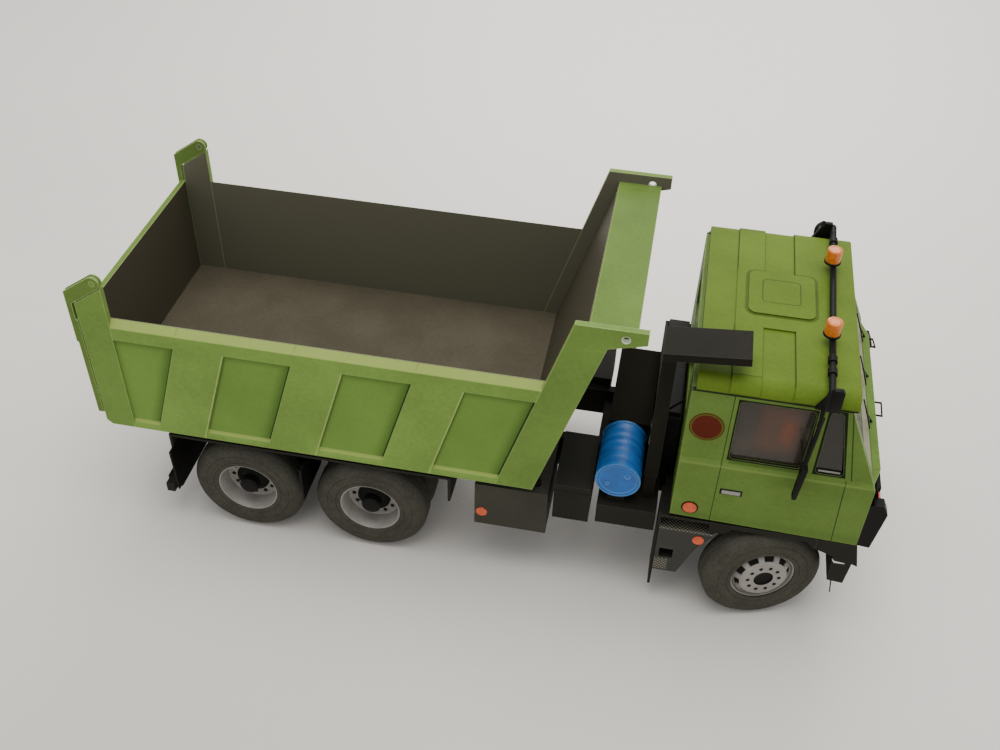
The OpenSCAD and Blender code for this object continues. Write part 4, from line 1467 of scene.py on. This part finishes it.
    def twin_rim(self) -> Form:
        """Turns the deep rear rim with its ring of nuts and its long dark hub.

        Returns:
            The rim of both twin wheels.
        """
        lip = self.rim_r
        deep = -5.6
        back = -(self.twin_pitch + self.tyre_w)
        profile = [(0, -0.62), (1.9, -0.6), (2.3, -0.68), (2.42, -0.95), (2.75, -1.0), (3.0, -1.3),
                   (3.0, -3.7), (4.6, -4.6), (5.2, -4.9), (5.3, deep), (7.7, deep), (8.2, deep + 0.4),
                   (8.7, -2.6), (9.05, -0.75), (9.25, -0.35), (lip, -0.3), (lip, -self.tyre_w),
                   (lip - 0.5, -self.tyre_w), (8.4, deep - 0.6), (3.0, deep - 0.6),
                   (3.0, back + 5.6), (8.2, back + 5.6), (9.1, back + 0.3), (lip, back + 0.1),
                   (lip, back + self.tyre_w), (lip - 0.5, back + self.tyre_w), (8.4, back + 6.2),
                   (1.6, back + 6.2), (1.6, -2.4), (0, -2.4)]
        form = Form.turned("twin_rim", profile, 60)
        form.pick("FACE", lambda c, n: math.hypot(c.x, c.y) < 5.28 and c.z > deep - 0.2).paint(1)
        clear_selection()
        self.dressed(form.smooth(30))
        nut = Form.rod("nut", (6.6, 0, deep - 0.1), (6.6, 0, deep + 0.15), 0.66, 14)
        return Form.join("twin_rim", [form, self.nuts(nut, self.twin_bolt_count)])


# ---- Cab ----


@dataclass
class CabDetails(Assembly):
    """Small pieces on and in the cab."""

    side_y: float = 39.06
    marker: Point = (63.65, 43.2, 2.1)
    emblem: Point = (63.95, 73.9, 4.7)
    handle: Point = (73.95, 51.7, 2.6)
    upper_y: float = 38.46
    belt_z: float = 62.0
    gutter_y: float = 37.16
    gutter_z: float = 86.1
    bar_x: float = 94.3
    bar_z: float = 92.6
    bar_yaw: float = 2.0
    beacon_y: Span = (-15.9, 18.3)
    clamp_y: tuple[float, ...] = (-25.6, -30.6, 25.6, 30.6)
    mirror_y: float = 42.3
    wiper_y: tuple[Span, ...] = ((9.5, 0.2), (-10.7, -18.7), (28.9, 20.4))
    wiper_z: float = 70.4
    seat_y: float = 19.0

    def lean_y(self, z: float) -> float:
        """Returns how far out the upper cab side is at a height."""
        share = (z - self.belt_z) / (self.gutter_z - self.belt_z)
        return self.upper_y + (self.gutter_y - self.upper_y) * share

    def build(self) -> None:
        """Builds and fits the cab's details."""
        self.discs()
        self.handles()
        self.trims()
        self.mirrors()
        self.wipers()
        self.roof_bar()
        self.inside()

    def discs(self) -> None:
        """Fits the round side markers and the plain badge."""
        x, z, r = self.marker
        ring = Form.rod("side_marker_ring_right", (x, -self.side_y, z), (x, -self.side_y - 0.14, z),
                        r + 0.3, 40)
        ring.facing("-Y").inset(0.3, -0.05)
        self.shop.trim_pair(ring)
        lens = card_disc("side_marker_right", (x, -self.side_y - 0.05, z), r - 0.1, 0.28)
        self.shop.pair(lens, "chassis", "orange_card", "orange_marker")
        x, z, r = self.emblem
        y = -self.lean_y(z)
        tilt = Matrix.Translation(Vector((x, y, z)) * MM) @ Matrix.Rotation(
            math.atan2(self.upper_y - self.gutter_y, self.gutter_z - self.belt_z), 4, "X").inverted()
        layers = (("badge_rim_right", r, 0.1, "emblem_red"),
                  ("badge_ring_right", r - 0.28, 0.14, "emblem_green"),
                  ("badge_disc_right", r - 0.72, 0.18, "emblem_red"))
        for name, radius, height, finish in layers:
            disc = Form.rod(name, (0, 0.02, 0), (0, -height, 0), radius, 56)
            disc.facing("-Y").inset(0.12, -0.02)
            self.shop.pair(disc.place(tilt), "chassis", "brown_card", finish)

    def handles(self) -> None:
        """Fits the door handles in their dark recess plates."""
        x, z, half = self.handle
        y = -self.side_y
        plate = Form.block("door_handle_plate_right", (x - half - 0.5, y - 0.1, z - 1.1),
                           (x + half + 0.5, y + 0.02, z + 1.0))
        plate.facing("-Y").inset(0.35, -0.05)
        plate.rounded(0.05)
        self.shop.trim_pair(plate)
        grip = Form.block("door_handle_right", (x - half, y - 0.55, z - 0.5), (x + half, y - 0.05, z + 0.62))
        grip.facing("-Y").inset(0.16, 0.08)
        grip.rounded(0.14, 3)
        self.shop.pair(grip.smooth(), "chassis", "silver_card")

    def trims(self) -> None:
        """Fits the gutter strip, the bright strip in the quarter window and the screen's edge."""
        gutter = Form.block("gutter_strip_right", (59.0, -self.gutter_y - 0.5, 86.02),
                            (101.0, -self.gutter_y + 0.2, 86.28))
        gutter.pick("EDGE", lambda a, b: a.y < -37.5 and b.y < -37.5 and abs(a.x - b.x) > 1).bevel(0.08)
        self.shop.trim_pair(gutter)
        strip = Form.block("quarter_window_strip_right", (95.3, -37.95, 63.75), (101.2, -37.7, 64.35))
        strip.pick("EDGE", lambda a, b: abs(a.x - b.x) > 1).bevel(0.08)
        self.shop.pair(strip, "chassis", "silver_card")
        screen = Form.block("screen_edge_right", (-0.12, -0.12, 0.0), (0.12, 0.12, 22.6))
        screen.facing("Z").resize((0.6, 0.6, 1), (0, 0, 11))
        clear_selection()
        screen.place(at(108.6, -36.3, 64.0) @ Matrix.Rotation(math.radians(-22.5), 4, "Y")
                     @ Matrix.Rotation(math.radians(-2.5), 4, "X"))
        self.shop.pair(screen, "chassis", "silver_card", "pale_paper")

    def mirrors(self) -> None:
        """Models the mirrors, each a narrow head on a bent arm from the light bar's foot."""
        for side in SIDES:
            hand = SIDE_NAMES[side]
            y = side * self.mirror_y
            head = Form.block(f"mirror_head_{hand}", (89.6, y - 1.7, 56.6), (91.3, y + 1.7, 68.9))
            head.facing("+Z").move(0.35, 0, 0)
            head.facing("-Z").move(-0.35, 0, 0.3).resize((0.8, 0.7, 1), (90.2, y, 57))
            head.pick("FACE", lambda c, n: n.x < -0.8).inset(0.25, -0.12)
            head.rounded(0.25, 3)
            head.smooth()
            arm = Form.wire("arm", [(92.6, side * 38.9, 93.6), (92.0, side * 40.4, 92.3), (91.2, y, 89.4),
                                    (91.5, y, 85.4), (91.4, y, 81.0), (91.1, y, 76.4), (90.8, y, 72.6),
                                    (90.6, y, 68.0)], 0.62, True)
            stay = Form.wire("stay", [(91.2, side * 38.3, 77.4), (91.0, side * 39.8, 75.6),
                                      (90.8, y, 73.2)], 0.22)
            tie = Form.wire("tie", [(88.6, side * 39.0, 75.6), (89.4, y, 72.6), (90.2, y, 68.3)], 0.2)
            sleeve = Form.rod("sleeve", (91.62, y, 86.9), (91.4, y, 83.9), 0.72, 16)
            sleeve.facing("Z").inset(0.2, -0.05)
            clear_selection()
            self.shop.fit(Form.join(f"mirror_{hand}", [head, arm, stay, tie, sleeve]), "chassis",
                          "black_card", "black_trim",
                          replaces=["mirrors"] if side == RIGHT else [])

    def wipers(self) -> None:
        """Fits the wipers, the grab handles and the thin wires under the front corners."""
        z1 = self.wiper_z
        for number, (y0, y1) in enumerate(self.wiper_y):
            x1 = 111.3 - (z1 - 60.3) * 0.45 + 0.9
            arm = Form.wire("arm", [(111.5, y0, 59.8), (111.6, y0 - 0.4, 61.0), (x1, y1, z1)], 0.24)
            blade = Form.wire("blade", [(x1 + 0.15 + 2.2, y1 + 0.6, z1 - 6.2), (x1 + 0.1, y1, z1),
                                        (x1 - 1.9, y1 - 0.5, z1 + 5.0)], 0.2)
            knob = Form.rod("knob", (111.2, y0, 59.8), (112.1, y0, 59.8), 0.7, 16)
            knob.facing("+X").inset(0.2, 0.1)
            clear_selection()
            self.shop.trim(Form.join(f"wiper_{number + 1}", [arm, blade, knob]))
        for name, (y0, z0), (y1, z1) in (("left", (32.4, 57.0), (26.4, 58.6)),
                                         ("right", (-6.2, 59.0), (-0.9, 59.4))):
            bends = [(111.4, y0 - 2.6, z0 + 0.6), (113.0, y0, z0), (115.4, y0, z0),
                     (115.4, y1, z1), (113.0, y1, z1), (113.0, y0, z0)]
            loop = Form.wire(f"grab_handle_{name}", bends, 0.34)
            self.shop.trim(loop.smooth())
        for side in SIDES:
            bends = [(107.9, side * 38.6, 22.0), (108.0, side * 38.9, 20.6), (108.6, side * 38.95, 16.4)]
            rail = Form.wire(f"step_wire_{SIDE_NAMES[side]}", bends, 0.2)
            self.shop.trim(rail)

    def roof_bar(self) -> None:
        """Fits the clamps, the widened feet and the domed beacons of the roof bar."""
        yaw = at(self.bar_x) @ Matrix.Rotation(math.radians(-self.bar_yaw), 4, "Z")
        clamps = []
        for y in self.clamp_y:
            ring = Form.rod("clamp", (0, y - 1.1, self.bar_z), (0, y + 1.1, self.bar_z), 1.25, 20)
            ring.facing("Y").inset(0.3, -0.1)
            clear_selection()
            clamps.append(ring.place(yaw))
        self.shop.trim(Form.join("bar_clamps", clamps))
        for side in SIDES:
            hand = SIDE_NAMES[side]
            foot = Form.block(f"bar_foot_{hand}", (-1.2, -0.75, 86.8), (1.2, 0.75, 93.9))
            foot.facing("-Z").move(-1.7, 0, 0).resize((2.6, 1, 1), (-1.7, 0, 86.8))
            foot.rounded(0.25, 2)
            foot.place(at(self.bar_x + side * -0.2, side * 38.7, 0))
            self.shop.trim(foot.smooth())
        profile = [(0, 4.55), (1.3, 4.55), (1.45, 4.68), (1.85, 4.66), (2.08, 4.5), (2.15, 4.25),
                   (2.15, 0.9), (2.15, 0.3), (0, 0.3)]
        base = [(0, 0.02), (2.1, 0.02), (2.38, 0.1), (2.38, 0.6), (2.15, 0.75), (0, 0.75)]
        for number, y in enumerate(self.beacon_y):
            where = yaw @ at(-0.5, y, self.bar_z + 0.9)
            dome = Form.turned(f"beacon_{number + 1}", profile, 40).place(where).smooth(40)
            self.shop.fit(dome, "chassis", "orange_card", replaces=["beacons"] if number == 0 else [])
            seat = Form.turned(f"beacon_base_{number + 1}", base, 40).place(where).smooth(40)
            self.shop.trim(seat)

    def inside(self) -> None:
        """Models the two seats, each with a channel round its cushion and back."""
        for side in SIDES:
            y = side * self.seat_y
            (x0, _, z0), _ = corners(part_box("seats"))
            cushion = Form.block("cushion", (x0 + 0.2, y - 7.4, z0), (x0 + 13.8, y + 7.4, z0 + 8.8))
            cushion.facing("+Z").inset(1.6, 0.0).inset(0.4, -0.35).inset(0.4, 0.45)
            cushion.rounded(0.7, 3)
            back = Form.block("back", (x0 + 0.2, y - 7.2, z0 + 8.0), (x0 + 3.4, y + 7.2, z0 + 29.6))
            back.facing("+X").inset(1.6, 0.0).inset(0.4, -0.35).inset(0.4, 0.45)
            back.facing("+Z").resize((0.7, 0.6, 1), (x0 + 1.6, y, z0 + 29))
            back.rounded(0.6, 3)
            seat = Form.join(f"seat_{SIDE_NAMES[side]}", [cushion, back]).smooth()
            self.shop.fit(seat, "chassis", "brown_card", replaces=["seats"] if side == RIGHT else [])


# ---- Front end ----


@dataclass
class FrontDetails(Assembly):
    """Grille, lamps and blank number plate on the front."""

    face_x: float = 113.3
    bumper_x: float = 113.6
    lamp_y: float = 25.0
    lamp_gap: float = 5.8
    turn_lamp_y: float = 33.6
    slat_pitch: float = 1.15
    slat_count: int = 4

    def build(self) -> None:
        """Builds and fits the front's details."""
        grille = Form.block("grille_frame", (self.face_x - 0.05, -24, 51.2), (self.face_x + 0.35, 24, 57.2))
        grille.facing("+X").inset(0.7, -0.25)
        grille.rounded(0.08)
        self.shop.trim(grille)
        slat = Form.block("slat", (self.face_x + 0.1, -23, 52.3), (self.face_x + 0.42, 23, 52.75))
        slat.facing("+Z").move(-0.12, 0, 0)
        clear_selection()
        slats = [slat] + [slat.copy("slat", at(z=self.slat_pitch * i)) for i in range(1, self.slat_count)]
        self.shop.fit(Form.join("grille_slats", slats), "chassis", "silver_card")
        _, (_, _, top) = corners(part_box("front_bumper"))
        for side in SIDES:
            hand = SIDE_NAMES[side]
            y, turn_y = side * self.lamp_y, side * self.turn_lamp_y
            house = Form.block(f"headlamp_house_{hand}", (self.bumper_x, y - 6.2, top - 9.4),
                               (self.bumper_x + 1.3, y + 6.2, top - 3.6))
            house.facing("+X").inset(0.5, -0.25)
            house.rounded(0.12)
            self.shop.trim(house)
            lamps = []
            for shift in (-self.lamp_gap / 2, self.lamp_gap / 2):
                lens = Form.rod("lens", (self.bumper_x + 0.9, y + shift, top - 6.5),
                                (self.bumper_x + 1.35, y + shift, top - 6.5), 2.2, 32)
                lens.facing("+X").inset(0.35, 0.0).inset(0.15, -0.1).inset(0.7, 0.12)
                clear_selection()
                lamps.append(lens)
            pair = Form.join(f"headlamp_{hand}", lamps).smooth(50)
            self.shop.fit(pair, "chassis", "silver_card", "lamp_glass")
            turn = Form.block(f"turn_lamp_{hand}", (self.bumper_x + 0.1, turn_y - 1.6, top - 9.0),
                              (self.bumper_x + 1.0, turn_y + 1.6, top - 4.2))
            turn.facing("+X").inset(0.3, 0.1)
            turn.rounded(0.15)
            self.shop.fit(turn, "chassis", "orange_card", "orange_marker")
        plate = Form.block("front_plate_blank", (self.bumper_x + 0.5, -8.2, top - 14.6),
                           (self.bumper_x + 1.3, 8.2, top - 11.2))
        plate.facing("+X").inset(0.25, -0.06)
        plate.rounded(0.08)
        self.shop.fit(plate, "chassis", "silver_card", "pale_paper")


# ---- Gear behind the cab and under the bed ----


@dataclass
class GearDetails(Assembly):
    """Details of the drum, tanks, battery boxes and rear end, and the small flaps and cover."""

    drum_x: float = 42.4
    drum_z: float = 45.9
    drum_r: float = 6.6
    drum_out: float = -35.8
    drum_in: float = -17.3
    hoops: tuple[float, ...] = (0.17, 0.335, 0.5, 0.665, 0.83)
    strap_y: Span = (-31.5, -21.5)
    tail_lamp_y: float = 30.0

    def build(self) -> None:
        """Builds and fits the gear's details."""
        self.drum()
        self.tanks()
        self.boxes()
        self.rear()

    def drum(self) -> None:
        """Turns the drum with its hoops, lid and bungs, and fits its straps and a stiff air pipe."""
        r, length = self.drum_r, self.drum_in - self.drum_out
        profile: list[Span] = [(0, -0.35), (r - 1.3, -0.35), (r - 1.15, -0.1), (r - 0.95, -0.35),
                               (r - 0.55, -0.35), (r - 0.45, 0), (r - 0.05, 0), (r, -0.1),
                               (r, -0.5), (r - 0.2, -0.65)]
        for middle in self.hoops:
            z = -length * middle
            profile += [(r - 0.2, z + 0.75), (r, z + 0.45), (r, z - 0.45), (r - 0.2, z - 0.75)]
        profile += [(r - 0.2, -length + 0.65), (r, -length + 0.5), (r, -length), (r - 0.5, -length),
                    (r - 0.6, -length + 0.3), (0, -length + 0.3)]
        form = Form.turned("drum", profile, 56)
        place = at(self.drum_x, self.drum_out, self.drum_z) @ Matrix.Rotation(math.pi / 2, 4, "X")
        form.smooth(35)
        bung = Form.rod("bung", (2.6, 1.8, -0.5), (2.6, 1.8, -0.12), 0.8, 20)
        bung.facing("+Z").inset(0.2, -0.12)
        small = Form.rod("bung", (-3.0, -2.0, -0.5), (-3.0, -2.0, -0.15), 0.5, 16)
        small.facing("+Z").inset(0.15, -0.1)
        clear_selection()
        whole = Form.join("blue_drum_shape", [form, bung, small]).place(place)
        self.shop.fit(whole, "chassis", "blue_card", replaces=["blue_drum"])
        for name, y in zip(("front", "back"), self.strap_y):
            band = [(self.drum_x + (r + 0.2) * math.cos(a), y, self.drum_z + (r + 0.2) * math.sin(a))
                    for a in (math.radians(200 + 10 * i) for i in range(15))]
            strap = Form.wire(f"drum_strap_{name}", band, 0.22)
            self.shop.trim(strap)
        bends = [(48.6, -26.4, 52.2), (49.8, -25.6, 60.0), (53.2, -24.6, 66.0), (57.9, -24.0, 70.2)]
        pipe = Form.wire("stiff_air_pipe", bends, 0.34, True)
        self.shop.trim(pipe.smooth(60))

    def tanks(self) -> None:
        """Fits the cap of the box tank and the round markers."""
        (x0, y, _), (x1, _, z1) = corners(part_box("fuel_tanks"))
        cap = Form.rod("tank_cap_right", (x1 - 4.0, y + 4.2, z1 - 0.1), (x1 - 4.0, y + 4.2, z1 + 0.9),
                       1.5, 28)
        cap.facing("+Z").inset(0.3, 0.15).inset(0.5, -0.1)
        self.shop.trim_pair(cap)
        lens = card_disc("tank_marker_right", (x0 + 2.25, y, 25.4), 1.7, 0.25)
        self.shop.pair(lens, "chassis", "orange_card", "orange_marker")
        step_lens = card_disc("step_marker_right", (67.95, -39.06, 29.7), 1.7, 0.22)
        self.shop.pair(step_lens, "chassis", "orange_card", "orange_marker")

    def boxes(self) -> None:
        """Fits the flaps by the rear wheels, the engine cover, the torn edge and the battery lid; the web
        between the axles stands partly for the dark wheel arch and partly for painted shade.
        """
        # The web is a black sheet between the axles: partly the dark wheel arch, partly painted shade in the
        # gap.
        for name, rear_x, front_x, foot, head in (("wheel_web_right", -53.1, -52.3, 20.5, 34.0),
                                                  ("wheel_flap_right", -94.9, -94.2, 16.0, 33.0)):
            flap = Form.block(name, (rear_x, -41.0, foot), (front_x, -23.0, head))
            flap.facing("-Z").resize((0.6, 0.94, 1), ((rear_x + front_x) / 2, -32.0, foot))
            self.shop.trim_pair(flap.rounded(0.12))
        cover = Form.block("engine_cover", (49.78, -22.5, 30.5), (57.9, 22.5, 61.0))
        cover.facing("+Z").inset(0.9).extrude(0.4, 0, 1.6)
        cover.facing("-X").inset(1.6, -0.3)
        cover.rounded(0.2)
        self.shop.trim(cover)
        tear = Form.block("paper_tear", (106.9, -39.2, 29.6), (109.9, -39.0, 30.3))
        tear.facing("+X").resize((1, 1, 0.35), (109.9, -39.1, 29.7))
        tear.facing("-X").extrude(-0.7, 0, 0.9).resize((1, 1, 0.5), (106.2, -39.1, 31.0))
        clear_selection()
        self.shop.fit(tear, "chassis", "silver_card", "pale_paper")
        (x0, y, _), (x1, _, z1) = corners(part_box("battery_boxes"))
        lid = Form.block("battery_lid_right", (x0 - 0.1, y - 0.12, z1 - 2.6), (x1 + 0.1, y + 0.02, z1 - 2.2))
        lid.pick("EDGE", lambda a, b: a.y < y and b.y < y).bevel(0.04)
        self.shop.trim_pair(lid)

    def rear(self) -> None:
        """Fits the tail lamps and a blank rear plate."""
        (x, _, low), _ = corners(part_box("rear_underrun"))
        middle = low + 2.2
        for side in SIDES:
            hand = SIDE_NAMES[side]
            y = side * self.tail_lamp_y
            house = Form.block(f"tail_lamp_house_{hand}", (x - 0.5, y - 5.0, middle - 1.6),
                               (x + 0.02, y + 5.0, middle + 1.6))
            house.facing("-X").inset(0.3, -0.15)
            house.rounded(0.08)
            self.shop.trim(house)
            for name, shift, finish in (("stop", -3.0, "red_lamp"), ("turn", 0.0, "orange_marker"),
                                        ("tail", 3.0, "red_lamp")):
                lens = Form.block(f"{name}_lens_{hand}", (x - 0.75, y + shift - 1.3, middle - 1.1),
                                  (x - 0.35, y + shift + 1.3, middle + 1.1))
                lens.facing("-X").inset(0.25, 0.08)
                lens.rounded(0.08)
                self.shop.fit(lens, "chassis", "orange_card", finish)
        plate = Form.block("rear_plate_blank", (x - 0.3, -8.0, middle - 1.7), (x + 0.02, 8.0, middle + 1.7))
        plate.facing("-X").inset(0.25, -0.05)
        self.shop.fit(plate, "chassis", "silver_card", "pale_paper")


# ---- Studio ----


@dataclass
class Studio:
    """Floor, soft lights and camera."""

    camera_at: Point = (45.27, -260.56, 280.46)
    aim: Point = (-0.12609, 0.74003, -0.66066)
    roll: float = 1.863
    lens: float = 40.154
    key_at: Point = (0.03, 0.02, 1.0)
    key_size: float = 0.9
    key_energy: float = 9.5
    back_at: Point = (0.05, 1.35, 0.8)
    back_size: float = 0.8
    back_energy: float = 9.0
    warm_white: Colour = (1.0, 0.985, 0.96)
    sky: Colour = (0.96, 0.97, 1.0)
    sky_strength: float = 0.72
    floor_size: float = 3.0

    def build(self, finishes: Finishes) -> None:
        """Sets the stage.

        Args:
            finishes: The finishes.
        """
        clear_selection()
        bpy.ops.mesh.primitive_plane_add(size=self.floor_size)
        floor = Form.adopt("studio_floor")
        floor.obj.data.materials.append(finishes["floor_sheet"])
        self.light("key_light", self.key_at, self.key_size, self.key_energy)
        self.light("back_light", self.back_at, self.back_size, self.back_energy)
        world = bpy.data.worlds.new("studio_world")
        bpy.context.scene.world = world
        world.use_nodes = True
        ground = world.node_tree.nodes["Background"]
        ground.inputs["Color"].default_value = opaque(self.sky)
        ground.inputs["Strength"].default_value = self.sky_strength
        self.camera()

    def light(self, name: str, place: Point, size: float, energy: float) -> None:
        """Adds a soft square light that looks at the lorry.

        Args:
            name: The light's name.
            place: Its place in metres.
            size: Its side in metres.
            energy: Its power in watts.
        """
        data = bpy.data.lights.new(name, "AREA")
        data.size = size
        data.energy = energy
        data.color = self.warm_white
        lamp = bpy.data.objects.new(name, data)
        bpy.context.scene.collection.objects.link(lamp)
        lamp.location = place
        lamp.rotation_euler = (Vector((0, 0, 0.04)) - Vector(place)).to_track_quat("-Z", "Y").to_euler()

    def camera(self) -> None:
        """Adds the camera at its measured place and angle."""
        ahead = Vector(self.aim).normalized()
        across = ahead.cross(Vector((0, 0, 1))).normalized()
        up = across.cross(ahead)
        s, c = math.sin(math.radians(self.roll)), math.cos(math.radians(self.roll))
        right, top = across * c + up * s, up * c - across * s
        data = bpy.data.cameras.new("camera")
        data.lens = self.lens
        data.sensor_width = 36.0
        data.clip_start = 0.01
        camera = bpy.data.objects.new("camera", data)
        bpy.context.scene.collection.objects.link(camera)
        turn = Matrix((right, top, -ahead)).transposed().to_4x4()
        camera.matrix_world = Matrix.Translation(Vector(self.camera_at) * MM) @ turn
        bpy.context.scene.camera = camera


def main() -> None:
    """Builds the whole scene in order."""
    logging.basicConfig(level=logging.INFO, format="%(message)s")
    finishes = Finishes()
    Studio().build(finishes)
    FrameDressing().dress(finishes)
    shop = Workshop(finishes)
    for assembly in (Wheels, CabDetails, FrontDetails, GearDetails):
        assembly(shop).build()
    LOG.info("%d pieces made", shop.count)


if __name__ == "__main__":
    main()
